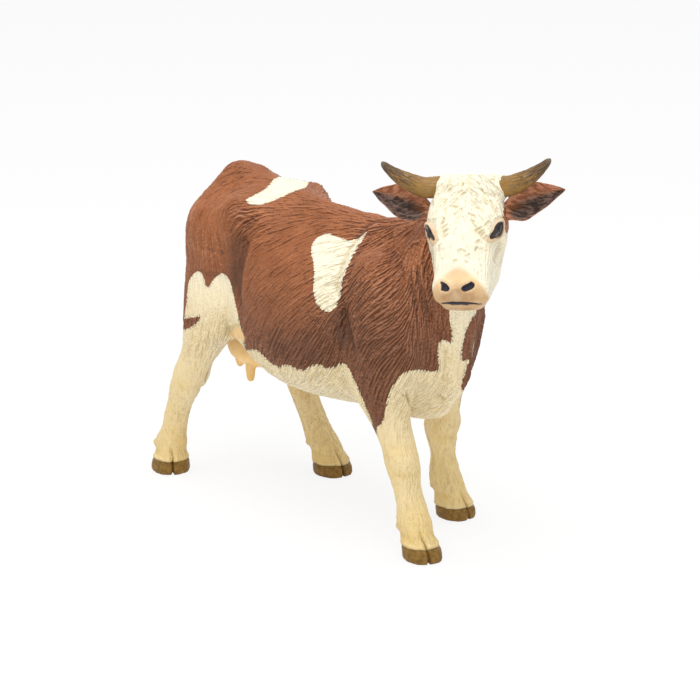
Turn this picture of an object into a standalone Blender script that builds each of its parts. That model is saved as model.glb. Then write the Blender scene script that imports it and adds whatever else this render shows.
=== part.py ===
"""A toy cow for farmyard play: a painted vinyl figure, glued up from solid mouldings that plug into one another.

The cow stands on the XY plane with its head end towards +X and its left side towards +Y. All sizes are in metres.
Each part of the animal starts as a smooth form lofted through sections. The forms are then divided at the seams
where the real mouldings meet: the piece gets a peg, and the piece that carries it gets a pocket with an even gap.
The finished figure hangs from an empty, whose place puts the origin under the middle of the figure.
"""

import math

import bmesh
import bpy
import numpy as np
from mathutils import Matrix, Vector

# Body: length of the trunk, width of the barrel, depth from belly line to withers, and height of the belly line
BODY_LENGTH = 0.100
BODY_WIDTH = 0.050
BODY_DEPTH = 0.052
LEG_HEIGHT = 0.034

# Legs: thickness that all leg sections follow, the cleft between the claws, and the dewclaws
LEG_THICKNESS = 0.0072
CLEFT_WIDTH = 0.0008
CLEFT_LENGTH = 0.0058
CLEFT_HEIGHT = 0.0036
DEWCLAW_RADIUS = 0.0013

# Neck and head: the head is turned to its right, bowed, and tipped a little
NECK_WIDTH = 0.022
HEAD_LENGTH = 0.035
HEAD_WIDTH = 0.0206
HEAD_DEPTH = 0.0185
HEAD_TURN = math.radians(-50.5)
HEAD_PITCH = math.radians(-50.0)
HEAD_ROLL = math.radians(5.5)

# Horns, ears, tail and udder
HORN_LENGTH = 0.0165
HORN_RADIUS = 0.00275
EAR_LENGTH = 0.017
EAR_WIDTH = 0.0095
TAIL_RADIUS = 0.0021
UDDER_LENGTH = 0.022
TEAT_LENGTH = 0.0055

# Seams: the gap between two mouldings, and the pegs that hold the legs and the neck
SEAM_GAP = 0.0003
LEG_PEG_RADIUS = 0.0022
LEG_PEG_LENGTH = 0.0045
NECK_PEG_RADIUS = 0.0045
NECK_PEG_LENGTH = 0.0065
OVERRUN = 0.002
REACH = 0.150

# How a cage is smoothed: rounds of swelling before it, and sides of a tube or a peg
SWELL_ROUNDS = 12
LEG_SIDES = 8
TUBE_SIDES = 8
TEAT_SIDES = 6
UDDER_SIDES = 10
PEG_SIDES = 16

# Paint colour and roughness of each kind of moulding
BROWN = ((0.27, 0.095, 0.05), 0.55)
CREAM = ((0.86, 0.79, 0.58), 0.55)
HORN_TAN = ((0.36, 0.25, 0.09), 0.45)
EAR_BROWN = ((0.17, 0.07, 0.045), 0.60)
UDDER_PEACH = ((0.85, 0.60, 0.36), 0.55)


def height(share):
    """Height above the floor: a share up to 1 climbs the free leg, and what is over 1 climbs the body's depth."""
    return LEG_HEIGHT * min(share, 1.0) + BODY_DEPTH * max(share - 1.0, 0.0)


def body_place(x_share, y_share, height_share):
    """A point given in shares of the body's length, width and height."""
    return Vector((x_share * BODY_LENGTH, y_share * BODY_WIDTH, height(height_share)))


def new_object(name, mesh):
    """An object in the figure's collection."""
    made = bpy.data.objects.new(name, mesh)
    bpy.data.collections["toy_cow"].objects.link(made)
    return made


def settle(obj):
    """Replaces an object's mesh by its evaluated one, with its modifiers applied."""
    bpy.context.view_layer.update()
    graph = bpy.context.evaluated_depsgraph_get()
    mesh = bpy.data.meshes.new_from_object(obj.evaluated_get(graph))
    obj.modifiers.clear()
    obj.data = mesh
    return obj


def settle_place(obj, place):
    """Moves a primitive to its place and keeps that place in its mesh."""
    obj.matrix_world = Matrix.Identity(4)
    obj.data.transform(place)
    return obj


def combine(obj, other, operation):
    """Boolean of one object with another, applied. The other object is used up."""
    step = obj.modifiers.new("boolean", "BOOLEAN")
    step.object = other
    step.operation = operation
    step.solver = "MANIFOLD"
    settle(obj)
    bpy.data.objects.remove(other)
    return obj


def copy_of(obj, name):
    return new_object(name, obj.data.copy())


def grown(obj):
    """A copy of a form with its surface moved out by the seam gap, to cut the pocket that the form sits in."""
    made = copy_of(obj, obj.name + "_pocket")
    offset = made.modifiers.new("offset", "DISPLACE")
    offset.strength = SEAM_GAP
    offset.mid_level = 0.0
    offset.direction = "NORMAL"
    return settle(made)


def swelled(rings):
    """Moves rings of points outwards until the smoothed surface, which shrinks from its cage, passes through the
    places that were given."""
    wanted = np.array([[tuple(point) for point in ring] for ring in rings])
    cage = wanted.copy()
    for _ in range(SWELL_ROUNDS):
        neighbours = np.roll(cage, 1, axis=1) + np.roll(cage, -1, axis=1)
        across = (4.0 * cage + neighbours) / 6.0
        smoothed = across.copy()
        smoothed[1:-1] = (across[:-2] + 4.0 * across[1:-1] + across[2:]) / 6.0
        cage += wanted - smoothed
    return cage


def loft(name, rings, levels=1, sharp_start=False):
    """A closed form through rings of equally many points: a coarse cage, smoothed by subdivision. A sharp start keeps
    the first ring flat, with a crisp rim."""
    mesh = bpy.data.meshes.new(name)
    cage = bmesh.new()
    rows = [[cage.verts.new(point) for point in ring] for ring in swelled(rings)]
    count = len(rows[0])
    for low, high in zip(rows, rows[1:]):
        for i in range(count):
            j = (i + 1) % count
            cage.faces.new((low[i], low[j], high[j], high[i]))
    start = cage.faces.new(list(reversed(rows[0])))
    cage.faces.new(rows[-1])
    if sharp_start:
        crease = cage.edges.layers.float.new("crease_edge")
        for edge in start.edges:
            edge[crease] = 1.0
    bmesh.ops.recalc_face_normals(cage, faces=cage.faces)
    cage.to_mesh(mesh)
    cage.free()
    made = new_object(name, mesh)
    smooth = made.modifiers.new("smooth", "SUBSURF")
    smooth.levels = levels
    smooth.render_levels = levels
    return settle(made)


def tube_rings(points, radii, sides):
    """Round rings along a line of points, each square to the line."""
    rings = []
    for i, (point, radius) in enumerate(zip(points, radii)):
        ahead = (points[min(i + 1, len(points) - 1)] - points[max(i - 1, 0)]).normalized()
        side = ahead.cross(Vector((0.0, 1.0, 0.0))).normalized()
        up = side.cross(ahead)
        angles = [math.tau * k / sides for k in range(sides)]
        rings.append([point + (side * math.cos(angle) + up * math.sin(angle)) * radius for angle in angles])
    return rings


# Trunk. Each section is: place along the body, top and underside heights, and the half-widths at the side levels.
SIDE_LEVEL_SHARES = (0.975, 0.90, 0.72, 0.46, 0.21, 0.05)
TORSO_SHARES = (
    (-0.540, 1.933, 1.500, (0.06, 0.10, 0.20, 0.22, 0.20, 0.10)),
    (-0.510, 2.025, 1.308, (0.06, 0.12, 0.29, 0.31, 0.30, 0.16)),
    (-0.460, 2.092, 1.192, (0.07, 0.14, 0.33, 0.36, 0.34, 0.18)),
    (-0.390, 2.069, 1.135, (0.08, 0.17, 0.35, 0.36, 0.34, 0.18)),
    (-0.310, 2.038, 1.096, (0.10, 0.325, 0.355, 0.36, 0.34, 0.20)),
    (-0.250, 2.015, 1.067, (0.09, 0.29, 0.335, 0.39, 0.38, 0.23)),
    (-0.150, 1.985, 1.012, (0.08, 0.16, 0.33, 0.46, 0.44, 0.27)),
    (-0.040, 1.967, 0.979, (0.08, 0.16, 0.35, 0.49, 0.46, 0.28)),
    (0.080, 1.965, 0.985, (0.08, 0.16, 0.34, 0.47, 0.43, 0.26)),
    (0.190, 1.977, 0.994, (0.08, 0.15, 0.30, 0.40, 0.34, 0.21)),
    (0.290, 1.990, 0.971, (0.08, 0.14, 0.25, 0.32, 0.26, 0.15)),
    (0.360, 1.923, 1.019, (0.07, 0.13, 0.22, 0.27, 0.19, 0.08)),
    (0.410, 1.788, 1.125, (0.05, 0.10, 0.16, 0.20, 0.13, 0.04)),
)


def trunk_form():
    """The barrel, rump and chest. Each ring runs from the ridge down the right side and up the left."""
    rings = []
    for x_share, top_share, under_share, width_shares in TORSO_SHARES:
        x = x_share * BODY_LENGTH
        top = height(top_share)
        under = height(under_share)
        sides = [(width * BODY_WIDTH, under + level * (top - under))
                 for width, level in zip(width_shares, SIDE_LEVEL_SHARES)]
        right = [Vector((x, -y, z)) for y, z in sides]
        left = [Vector((x, y, z)) for y, z in reversed(sides)]
        rings.append([Vector((x, 0.0, top)), *right, Vector((x, 0.0, under)), *left])
    return loft("torso", rings, levels=2)


# Legs, from the sole up into the body. Each section is: height, place along and across the body, and half-length and
# half-width in shares of the leg's thickness.
RIGHT_FORE_SHARES = (
    (0.000, 0.420, -0.260, 0.74, 0.65),
    (0.074, 0.418, -0.260, 0.74, 0.67),
    (0.147, 0.406, -0.260, 0.67, 0.61),
    (0.221, 0.396, -0.260, 0.61, 0.58),
    (0.309, 0.386, -0.260, 0.61, 0.56),
    (0.412, 0.375, -0.260, 0.53, 0.53),
    (0.515, 0.362, -0.260, 0.49, 0.50),
    (0.603, 0.353, -0.260, 0.56, 0.54),
    (0.706, 0.345, -0.260, 0.64, 0.61),
    (0.824, 0.332, -0.260, 0.64, 0.61),
    (0.941, 0.312, -0.260, 0.68, 0.64),
    (1.038, 0.295, -0.270, 0.86, 0.69),
    (1.173, 0.275, -0.280, 1.32, 0.90),
    (1.365, 0.265, -0.260, 1.74, 1.04),
    (1.558, 0.260, -0.240, 1.81, 1.04),
    (1.731, 0.245, -0.210, 1.53, 0.97),
    (1.865, 0.215, -0.140, 0.97, 0.69),
)
LEFT_FORE_SHARES = (
    (0.000, 0.255, 0.318, 0.74, 0.68),
    (0.074, 0.253, 0.318, 0.76, 0.71),
    (0.147, 0.242, 0.318, 0.69, 0.65),
    (0.221, 0.230, 0.318, 0.61, 0.60),
    (0.309, 0.215, 0.318, 0.61, 0.57),
    (0.412, 0.209, 0.318, 0.49, 0.49),
    (0.515, 0.203, 0.318, 0.44, 0.44),
    (0.603, 0.198, 0.318, 0.53, 0.53),
    (0.706, 0.199, 0.318, 0.65, 0.62),
    (0.824, 0.202, 0.318, 0.64, 0.61),
    (0.941, 0.205, 0.312, 0.68, 0.64),
    (1.038, 0.210, 0.300, 0.83, 0.69),
    (1.173, 0.220, 0.280, 1.18, 0.90),
    (1.365, 0.240, 0.260, 1.53, 1.04),
    (1.558, 0.250, 0.240, 1.67, 1.04),
    (1.731, 0.245, 0.210, 1.53, 0.97),
    (1.865, 0.215, 0.140, 0.97, 0.69),
)
RIGHT_HIND_SHARES = (
    (0.000, -0.571, -0.368, 0.78, 0.72),
    (0.074, -0.570, -0.368, 0.78, 0.72),
    (0.147, -0.567, -0.368, 0.68, 0.64),
    (0.221, -0.566, -0.368, 0.62, 0.58),
    (0.309, -0.562, -0.368, 0.58, 0.54),
    (0.412, -0.549, -0.368, 0.50, 0.47),
    (0.529, -0.537, -0.368, 0.51, 0.46),
    (0.647, -0.520, -0.368, 0.54, 0.47),
    (0.765, -0.500, -0.368, 0.64, 0.50),
    (0.882, -0.484, -0.366, 0.75, 0.56),
    (1.000, -0.463, -0.360, 0.75, 0.58),
    (1.096, -0.435, -0.340, 0.83, 0.67),
    (1.192, -0.415, -0.320, 1.17, 0.83),
    (1.308, -0.400, -0.290, 1.53, 1.00),
    (1.462, -0.395, -0.250, 1.81, 1.11),
    (1.635, -0.395, -0.210, 1.83, 1.11),
    (1.788, -0.400, -0.170, 1.60, 1.04),
    (1.904, -0.400, -0.140, 1.11, 0.83),
)
LEFT_HIND_SHARES = (
    (0.000, -0.232, 0.290, 0.78, 0.72),
    (0.074, -0.234, 0.290, 0.79, 0.74),
    (0.147, -0.246, 0.290, 0.72, 0.67),
    (0.221, -0.263, 0.290, 0.68, 0.61),
    (0.309, -0.286, 0.290, 0.62, 0.57),
    (0.412, -0.310, 0.290, 0.56, 0.51),
    (0.529, -0.336, 0.290, 0.56, 0.50),
    (0.676, -0.366, 0.290, 0.61, 0.51),
    (0.824, -0.390, 0.290, 0.72, 0.54),
    (0.971, -0.395, 0.290, 0.78, 0.58),
    (1.096, -0.380, 0.290, 0.92, 0.69),
    (1.192, -0.375, 0.290, 1.18, 0.86),
    (1.308, -0.375, 0.280, 1.53, 1.00),
    (1.462, -0.385, 0.250, 1.81, 1.11),
    (1.635, -0.395, 0.210, 1.83, 1.11),
    (1.788, -0.400, 0.170, 1.60, 1.04),
    (1.904, -0.400, 0.140, 1.11, 0.83),
)

# The seam of each leg: a level plane, and the middle of its peg on it
RIGHT_FORE_SEAM_SHARES = (0.27, -0.28, 1.13)
LEFT_FORE_SEAM_SHARES = (0.23, 0.28, 1.13)
RIGHT_HIND_SEAM_SHARES = (-0.410, -0.30, 1.23)
LEFT_HIND_SEAM_SHARES = (-0.375, 0.29, 1.23)

# The dewclaws sit behind the fetlock, which is this section of each leg
DEWCLAW_SECTION = 3
DEWCLAW_BACK_SHARE = 0.94
DEWCLAW_SIDE_SHARE = 0.24


def leg_form(name, sections):
    """A whole leg as level rings about its centre line."""
    rings = []
    for z_share, x_share, y_share, length_share, width_share in sections:
        centre = body_place(x_share, y_share, z_share)
        angles = [math.tau * (i + 0.5) / LEG_SIDES for i in range(LEG_SIDES)]
        rings.append([centre + LEG_THICKNESS * Vector((math.cos(a) * length_share, math.sin(a) * width_share, 0.0))
                      for a in angles])
    return loft(name, rings, sharp_start=True)


def split_hoof(leg, sections):
    """Cuts the cleft that parts the two claws, from the toe back and open at the sole."""
    z_share, x_share, y_share, length_share, _ = sections[0]
    toe = body_place(x_share, y_share, z_share) + Vector((length_share * LEG_THICKNESS, 0.0, 0.0))
    bpy.ops.mesh.primitive_cube_add(size=1.0)
    middle = toe + Vector(((OVERRUN - CLEFT_LENGTH) / 2.0, 0.0, (CLEFT_HEIGHT - OVERRUN) / 2.0))
    size = Matrix.Diagonal((CLEFT_LENGTH + OVERRUN, CLEFT_WIDTH, CLEFT_HEIGHT + OVERRUN, 1.0))
    combine(leg, settle_place(bpy.context.object, Matrix.Translation(middle) @ size), "DIFFERENCE")


def add_dewclaws(leg, sections):
    """Two small knobs side by side on the back of the fetlock."""
    z_share, x_share, y_share, length_share, _ = sections[DEWCLAW_SECTION]
    fetlock = body_place(x_share, y_share, z_share)
    for side in (-1.0, 1.0):
        spot = fetlock + LEG_THICKNESS * Vector((-length_share * DEWCLAW_BACK_SHARE, side * DEWCLAW_SIDE_SHARE, 0.0))
        bpy.ops.mesh.primitive_uv_sphere_add(segments=10, ring_count=6, radius=DEWCLAW_RADIUS)
        combine(leg, settle_place(bpy.context.object, Matrix.Translation(spot)), "UNION")


# Neck. Each section hangs from the crest to the throat: both points in body shares, then half-width and turn.
NECK_SHARES = (
    ((0.140, 0.000, 1.885), (0.270, 0.000, 1.058), 0.591, 0.0),
    ((0.220, 0.000, 1.971), (0.410, 0.000, 1.135), 0.636, 0.0),
    ((0.280, 0.006, 2.000), (0.428, 0.000, 1.308), 0.591, -3.0),
    ((0.320, 0.016, 2.038), (0.445, -0.020, 1.500), 0.545, -8.0),
    ((0.355, 0.036, 2.096), (0.458, -0.020, 1.663), 0.477, -15.0),
    ((0.385, 0.060, 2.173), (0.462, -0.010, 1.827), 0.418, -28.0),
    ((0.425, 0.040, 2.212), (0.475, -0.040, 1.971), 0.327, -42.0),
)
NECK_OUTLINE_SHARES = (
    (0.00, 1.00), (0.42, 0.88), (0.80, 0.52), (1.00, 0.02), (0.80, -0.48), (0.28, -0.86),
    (0.00, -1.00), (-0.28, -0.86), (-0.80, -0.48), (-1.00, 0.02), (-0.80, 0.52), (-0.42, 0.88),
)

# The neck's seam: a plane square to the middle of the body, through these points of the crest and the throat
NECK_SEAM_SHARES = ((0.287, 0.0, 2.015), (0.436, 0.0, 1.321))


def neck_form():
    """The neck from inside the chest to inside the head. Its sections turn with the head."""
    rings = []
    for crest_shares, throat_shares, half_width_share, turn in NECK_SHARES:
        crest = body_place(*crest_shares)
        throat = body_place(*throat_shares)
        centre = (crest + throat) / 2.0
        left = Vector((-math.sin(math.radians(turn)), math.cos(math.radians(turn)), 0.0))
        rings.append([centre + left * (a * half_width_share * NECK_WIDTH) + (crest - centre) * b
                      for a, b in NECK_OUTLINE_SHARES])
    return loft("head_and_neck", rings)


# Head. It hangs from the poll. Each section is: place down the face, rise and drop from the face line, and the
# half-widths of brow, cheek and jaw. The levels say how far down each section those widths lie.
POLL_SHARES = (0.434, 0.000, 2.262)
HEAD_LEVEL_SHARES = (0.06, 0.30, 0.58, 0.92)
HEAD_SHARES = (
    (-0.055, -0.08, 0.50, 0.21, 0.26, 0.16),
    (0.035, 0.05, 0.72, 0.32, 0.37, 0.24),
    (0.18, 0.08, 0.92, 0.36, 0.455, 0.30),
    (0.34, 0.08, 0.98, 0.37, 0.475, 0.33),
    (0.50, 0.05, 0.92, 0.30, 0.40, 0.36),
    (0.66, 0.01, 0.79, 0.25, 0.36, 0.35),
    (0.79, -0.02, 0.65, 0.25, 0.335, 0.29),
    (0.89, -0.08, 0.56, 0.25, 0.33, 0.24),
    (0.95, -0.20, 0.46, 0.17, 0.24, 0.17),
)


def head_axes():
    """The head's own directions: down the face, towards its left, and out of the forehead."""
    forward = Vector((math.cos(HEAD_PITCH) * math.cos(HEAD_TURN),
                      math.cos(HEAD_PITCH) * math.sin(HEAD_TURN),
                      math.sin(HEAD_PITCH)))
    level = Vector((-math.sin(HEAD_TURN), math.cos(HEAD_TURN), 0.0))
    left = Matrix.Rotation(HEAD_ROLL, 3, forward) @ level
    return forward, left, forward.cross(left)


def head_place(along, across, out):
    """A point in the head's own directions, measured from the poll."""
    forward, left, up = head_axes()
    return body_place(*POLL_SHARES) + forward * along + left * across + up * out


def head_form():
    """The head as rings square to the face line: brow, two cheek levels and jaw on each side."""
    rings = []
    for place, rise, drop, brow, cheek, jaw in HEAD_SHARES:
        along = place * HEAD_LENGTH
        top = rise * HEAD_DEPTH
        low = -drop * HEAD_DEPTH
        sides = [(width * HEAD_WIDTH, top + level * (low - top))
                 for width, level in zip((brow, cheek, cheek, jaw), HEAD_LEVEL_SHARES)]
        right = [head_place(along, -y, z) for y, z in sides]
        left = [head_place(along, y, z) for y, z in reversed(sides)]
        rings.append([head_place(along, 0.0, top), *right, head_place(along, 0.0, low), *left])
    return loft("head", rings)


# Horns. The root is given in shares of the head, and each station in shares of the horn's length from the root:
# outwards, down the face and out of the forehead, then the radius.
HORN_ROOT_SHARES = (0.047, 0.252, -0.083)
HORN_SHARES = (
    (-0.05, 0.00, 0.00, 0.98),
    (0.13, 0.00, 0.00, 1.00),
    (0.33, 0.02, 0.04, 0.95),
    (0.50, -0.02, 0.09, 0.86),
    (0.69, -0.085, 0.17, 0.70),
    (0.86, -0.18, 0.25, 0.47),
    (0.99, -0.29, 0.31, 0.22),
)


def horn_form(name, side):
    """A horn that leaves the poll sideways and sweeps forwards and up to its tip."""
    along_share, across_share, out_share = HORN_ROOT_SHARES
    points = [head_place(along_share * HEAD_LENGTH + along * HORN_LENGTH,
                         side * (across_share * HEAD_WIDTH + reach * HORN_LENGTH),
                         out_share * HEAD_DEPTH + out * HORN_LENGTH) for reach, along, out, _ in HORN_SHARES]
    return loft(name, tube_rings(points, [radius * HORN_RADIUS for *_, radius in HORN_SHARES], TUBE_SIDES))


# Ears. The root is given in shares of the head. Each station is: reach outwards, sag down the face, half-width,
# half-thickness and cup.
EAR_ROOT_SHARES = (0.20, 0.41, -0.28)
EAR_RISE_SHARE = 0.38
EAR_SHARES = (
    (-0.12, 0.00, 0.20, 0.20, 0.00),
    (0.10, 0.00, 0.30, 0.22, 0.04),
    (0.32, 0.00, 0.45, 0.15, 0.16),
    (0.55, -0.005, 0.44, 0.11, 0.20),
    (0.76, 0.005, 0.28, 0.08, 0.12),
    (0.93, 0.00, 0.10, 0.06, 0.04),
    (1.00, 0.00, 0.03, 0.03, 0.00),
)


def ear_form(name, side):
    """A leaf that stands out sideways from behind the brow, cupped towards the front."""
    forward, left, _ = head_axes()
    along_share, across_share, out_share = EAR_ROOT_SHARES
    root = head_place(along_share * HEAD_LENGTH, side * across_share * HEAD_WIDTH, out_share * HEAD_DEPTH)
    out = (left * side - forward * EAR_RISE_SHARE).normalized()
    broad = (forward - out * forward.dot(out)).normalized()
    thick = out.cross(broad) * side
    rings = []
    for reach, sag, wide, thin, cup in EAR_SHARES:
        centre = root + out * (reach * EAR_LENGTH) + broad * (sag * EAR_LENGTH)
        angles = [math.tau * k / TUBE_SIDES for k in range(TUBE_SIDES)]
        rings.append([centre + EAR_WIDTH * (broad * (math.cos(a) * wide)
                                            - thick * (thin * math.sin(a) + cup * math.cos(a) ** 2))
                      for a in angles])
    return loft(name, rings)


# Udder. Each level is: height, then place ahead of the udder's middle, half-length and half-width in shares of the
# udder's length. Each teat has a place from the udder's middle, and its stations are drop and radius in shares of
# its length.
UDDER_PLACE_SHARE = -0.385
UDDER_TURN_SHARE = 0.3
UDDER_SHARES = (
    (1.19, -0.02, 0.26, 0.20),
    (1.13, -0.01, 0.40, 0.34),
    (1.07, 0.02, 0.45, 0.40),
    (1.02, 0.08, 0.38, 0.36),
    (0.97, 0.12, 0.22, 0.20),
)
TEAT_TOP_SHARE = 1.03
TEAT_PLACE_SHARES = ((0.04, -0.13), (0.04, 0.13), (-0.03, -0.09), (-0.03, 0.09))
TEAT_SHARES = ((0.0, 0.30), (0.45, 0.27), (0.85, 0.22), (1.0, 0.11))


def udder_form():
    """The bag as level rings under the flank, with four teats that hang from it."""
    rings = []
    for z_share, ahead_share, length_share, width_share in UDDER_SHARES:
        centre = body_place(UDDER_PLACE_SHARE, 0.0, z_share) + Vector((ahead_share * UDDER_LENGTH, 0.0, 0.0))
        angles = [math.tau * (i + UDDER_TURN_SHARE) / UDDER_SIDES for i in range(UDDER_SIDES)]
        rings.append([centre + UDDER_LENGTH * Vector((math.cos(a) * length_share, math.sin(a) * width_share, 0.0))
                      for a in angles])
    bag = loft("udder", rings)
    for x_share, y_share in TEAT_PLACE_SHARES:
        top = body_place(UDDER_PLACE_SHARE + x_share, y_share, TEAT_TOP_SHARE)
        points = [top - Vector((0.0, 0.0, drop * TEAT_LENGTH)) for drop, _ in TEAT_SHARES]
        radii = [radius * TEAT_LENGTH for _, radius in TEAT_SHARES]
        combine(bag, loft("teat", tube_rings(points, radii, TEAT_SIDES)), "UNION")
    return bag


# Tail. Each station is: place along and across the body, height, and radius in shares of the tail's radius.
TAIL_SHARES = (
    (-0.440, 0.00, 1.98, 0.95),
    (-0.485, 0.00, 1.995, 1.10),
    (-0.518, 0.00, 1.95, 1.08),
    (-0.535, -0.005, 1.83, 0.95),
    (-0.545, -0.01, 1.65, 0.86),
    (-0.552, -0.025, 1.46, 0.80),
    (-0.556, -0.055, 1.27, 0.84),
    (-0.560, -0.09, 1.12, 1.05),
    (-0.562, -0.12, 0.94, 1.25),
    (-0.562, -0.14, 0.76, 0.85),
    (-0.562, -0.145, 0.68, 0.30),
)


def tail_form():
    """The tail from its root in the rump down to the brush, lying along the right buttock."""
    points = [body_place(x, y, z) for x, y, z, _ in TAIL_SHARES]
    return loft("tail", tube_rings(points, [radius * TAIL_RADIUS for *_, radius in TAIL_SHARES], TUBE_SIDES))


def half_space(point, normal):
    """A block that fills the space on the far side of a plane from its normal."""
    bpy.ops.mesh.primitive_cube_add(size=REACH)
    turn = normal.to_track_quat("Z", "X").to_matrix().to_4x4()
    place = Matrix.Translation(point) @ turn @ Matrix.Translation((0.0, 0.0, -REACH / 2.0))
    return settle_place(bpy.context.object, place)


def peg(point, normal, radius, length):
    """A round peg along a seam's normal, with its foot sunk into the piece that it grows from."""
    bpy.ops.mesh.primitive_cylinder_add(vertices=PEG_SIDES, radius=radius, depth=length + OVERRUN)
    turn = normal.to_track_quat("Z", "X").to_matrix().to_4x4()
    place = Matrix.Translation(point) @ turn @ Matrix.Translation((0.0, 0.0, (length - OVERRUN) / 2.0))
    return settle_place(bpy.context.object, place)


def plug_in(carrier, form, point, normal, peg_radius, peg_length):
    """Divides a form at a seam plane whose normal points into the carrier. The carrier keeps the stump behind the
    plane, with a pocket and a socket. The form becomes the piece in front of it, with a peg."""
    pocket = combine(grown(form), half_space(point + normal * SEAM_GAP, normal), "INTERSECT")
    combine(carrier, copy_of(form, "stump"), "UNION")
    combine(carrier, pocket, "DIFFERENCE")
    combine(carrier, peg(point, normal, peg_radius + SEAM_GAP, peg_length + SEAM_GAP), "DIFFERENCE")
    combine(form, half_space(point, normal), "INTERSECT")
    combine(form, peg(point, normal, peg_radius, peg_length), "UNION")


def facet(piece):
    """Splits the faces into triangles."""
    work = bmesh.new()
    work.from_mesh(piece.data)
    bmesh.ops.triangulate(work, faces=work.faces)
    work.to_mesh(piece.data)
    work.free()


def sink_in(carrier, piece):
    """Gives the carrier a pocket, with an even gap, for the root of a piece."""
    combine(carrier, grown(piece), "DIFFERENCE")


def paint(piece, finish):
    """Gives a piece its own material."""
    colour, roughness = finish
    made = bpy.data.materials.new(piece.name + "_vinyl")
    made.use_nodes = True
    shader = made.node_tree.nodes["Principled BSDF"]
    shader.inputs["Base Color"].default_value = (*colour, 1.0)
    shader.inputs["Roughness"].default_value = roughness
    shader.inputs["Metallic"].default_value = 0.0
    piece.data.materials.clear()
    piece.data.materials.append(made)


def build():
    for old in list(bpy.data.objects):
        bpy.data.objects.remove(old)
    collection = bpy.data.collections.new("toy_cow")
    bpy.context.scene.collection.children.link(collection)

    torso = trunk_form()
    pieces = [(torso, BROWN)]
    for name, sections, seam in (
        ("leg_front_right", RIGHT_FORE_SHARES, RIGHT_FORE_SEAM_SHARES),
        ("leg_front_left", LEFT_FORE_SHARES, LEFT_FORE_SEAM_SHARES),
        ("leg_hind_right", RIGHT_HIND_SHARES, RIGHT_HIND_SEAM_SHARES),
        ("leg_hind_left", LEFT_HIND_SHARES, LEFT_HIND_SEAM_SHARES),
    ):
        leg = leg_form(name, sections)
        plug_in(torso, leg, body_place(*seam), Vector((0.0, 0.0, 1.0)), LEG_PEG_RADIUS, LEG_PEG_LENGTH)
        split_hoof(leg, sections)
        add_dewclaws(leg, sections)
        pieces.append((leg, CREAM))

    crest, throat = (body_place(*shares) for shares in NECK_SEAM_SHARES)
    into_chest = (crest - throat).cross(Vector((0.0, 1.0, 0.0))).normalized()
    neck = neck_form()
    plug_in(torso, neck, (crest + throat) / 2.0, into_chest, NECK_PEG_RADIUS, NECK_PEG_LENGTH)
    combine(neck, head_form(), "UNION")
    pieces.append((neck, CREAM))
    for side, word in ((1.0, "left"), (-1.0, "right")):
        horn = horn_form("horn_" + word, side)
        ear = ear_form("ear_" + word, side)
        for piece, finish in ((horn, HORN_TAN), (ear, EAR_BROWN)):
            sink_in(neck, piece)
            pieces.append((piece, finish))
    for piece, finish in ((udder_form(), UDDER_PEACH), (tail_form(), BROWN)):
        sink_in(torso, piece)
        pieces.append((piece, finish))

    points = [vertex.co for piece, _ in pieces for vertex in piece.data.vertices]
    low = Vector([min(point[axis] for point in points) for axis in range(3)])
    high = Vector([max(point[axis] for point in points) for axis in range(3)])
    stand = new_object("toy_cow_origin", None)
    stand.location = (-(low.x + high.x) / 2.0, -(low.y + high.y) / 2.0, -low.z)
    for piece, finish in pieces:
        facet(piece)
        paint(piece, finish)
        piece.data.shade_smooth()
        piece.data.set_sharp_from_angle(angle=math.radians(50.0))
        piece.parent = stand


build()
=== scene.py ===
"""Looks of a toy cow: a horned brown-and-cream farm animal in hand-painted vinyl, standing on a white
sheet."""

import math

import bmesh
import bpy
import numpy as np
from mathutils import Matrix, Vector


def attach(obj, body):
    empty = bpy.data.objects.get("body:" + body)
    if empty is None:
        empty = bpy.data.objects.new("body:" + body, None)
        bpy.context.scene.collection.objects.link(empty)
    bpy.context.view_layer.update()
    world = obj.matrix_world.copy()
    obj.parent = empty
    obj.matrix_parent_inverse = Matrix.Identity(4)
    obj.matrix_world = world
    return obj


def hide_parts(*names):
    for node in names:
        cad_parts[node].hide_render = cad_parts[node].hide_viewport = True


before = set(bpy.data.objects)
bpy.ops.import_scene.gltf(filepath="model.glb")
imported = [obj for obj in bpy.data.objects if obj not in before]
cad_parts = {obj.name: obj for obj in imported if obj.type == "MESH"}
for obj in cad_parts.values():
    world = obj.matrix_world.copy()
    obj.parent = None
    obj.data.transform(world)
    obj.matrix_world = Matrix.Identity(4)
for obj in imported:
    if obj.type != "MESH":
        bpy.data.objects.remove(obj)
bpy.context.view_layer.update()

# The camera stands where the photographer's did: to the right and in front of the cow, a little above its
# back. Its place also reads points off the photo, because the paint and the carving are laid out by the
# photo's pixels.
view_turn = math.radians(47.4)
view_rise = math.radians(16.5)
view_distance = 0.600
view_target = np.array((0.00058, 0.0, 0.045))
photo_width = 700
focal_pixels = 2200.0

to_camera = np.array((math.sin(view_turn) * math.cos(view_rise), -math.cos(view_turn) * math.cos(view_rise),
                      math.sin(view_rise)))
camera_right = np.array((math.cos(view_turn), math.sin(view_turn), 0.0))
camera_up = np.cross(to_camera, camera_right)
camera_data = bpy.data.cameras.new("photo_camera")
camera_data.sensor_width = 36.0
camera_data.lens = focal_pixels / photo_width * camera_data.sensor_width
camera_data.clip_start = 0.01
camera = bpy.data.objects.new("photo_camera", camera_data)
camera.location = Vector(view_target + to_camera * view_distance)
camera.rotation_mode = "QUATERNION"
camera.rotation_quaternion = Vector(to_camera).to_track_quat("Z", "Y")
bpy.context.scene.collection.objects.link(camera)
bpy.context.scene.camera = camera


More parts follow.
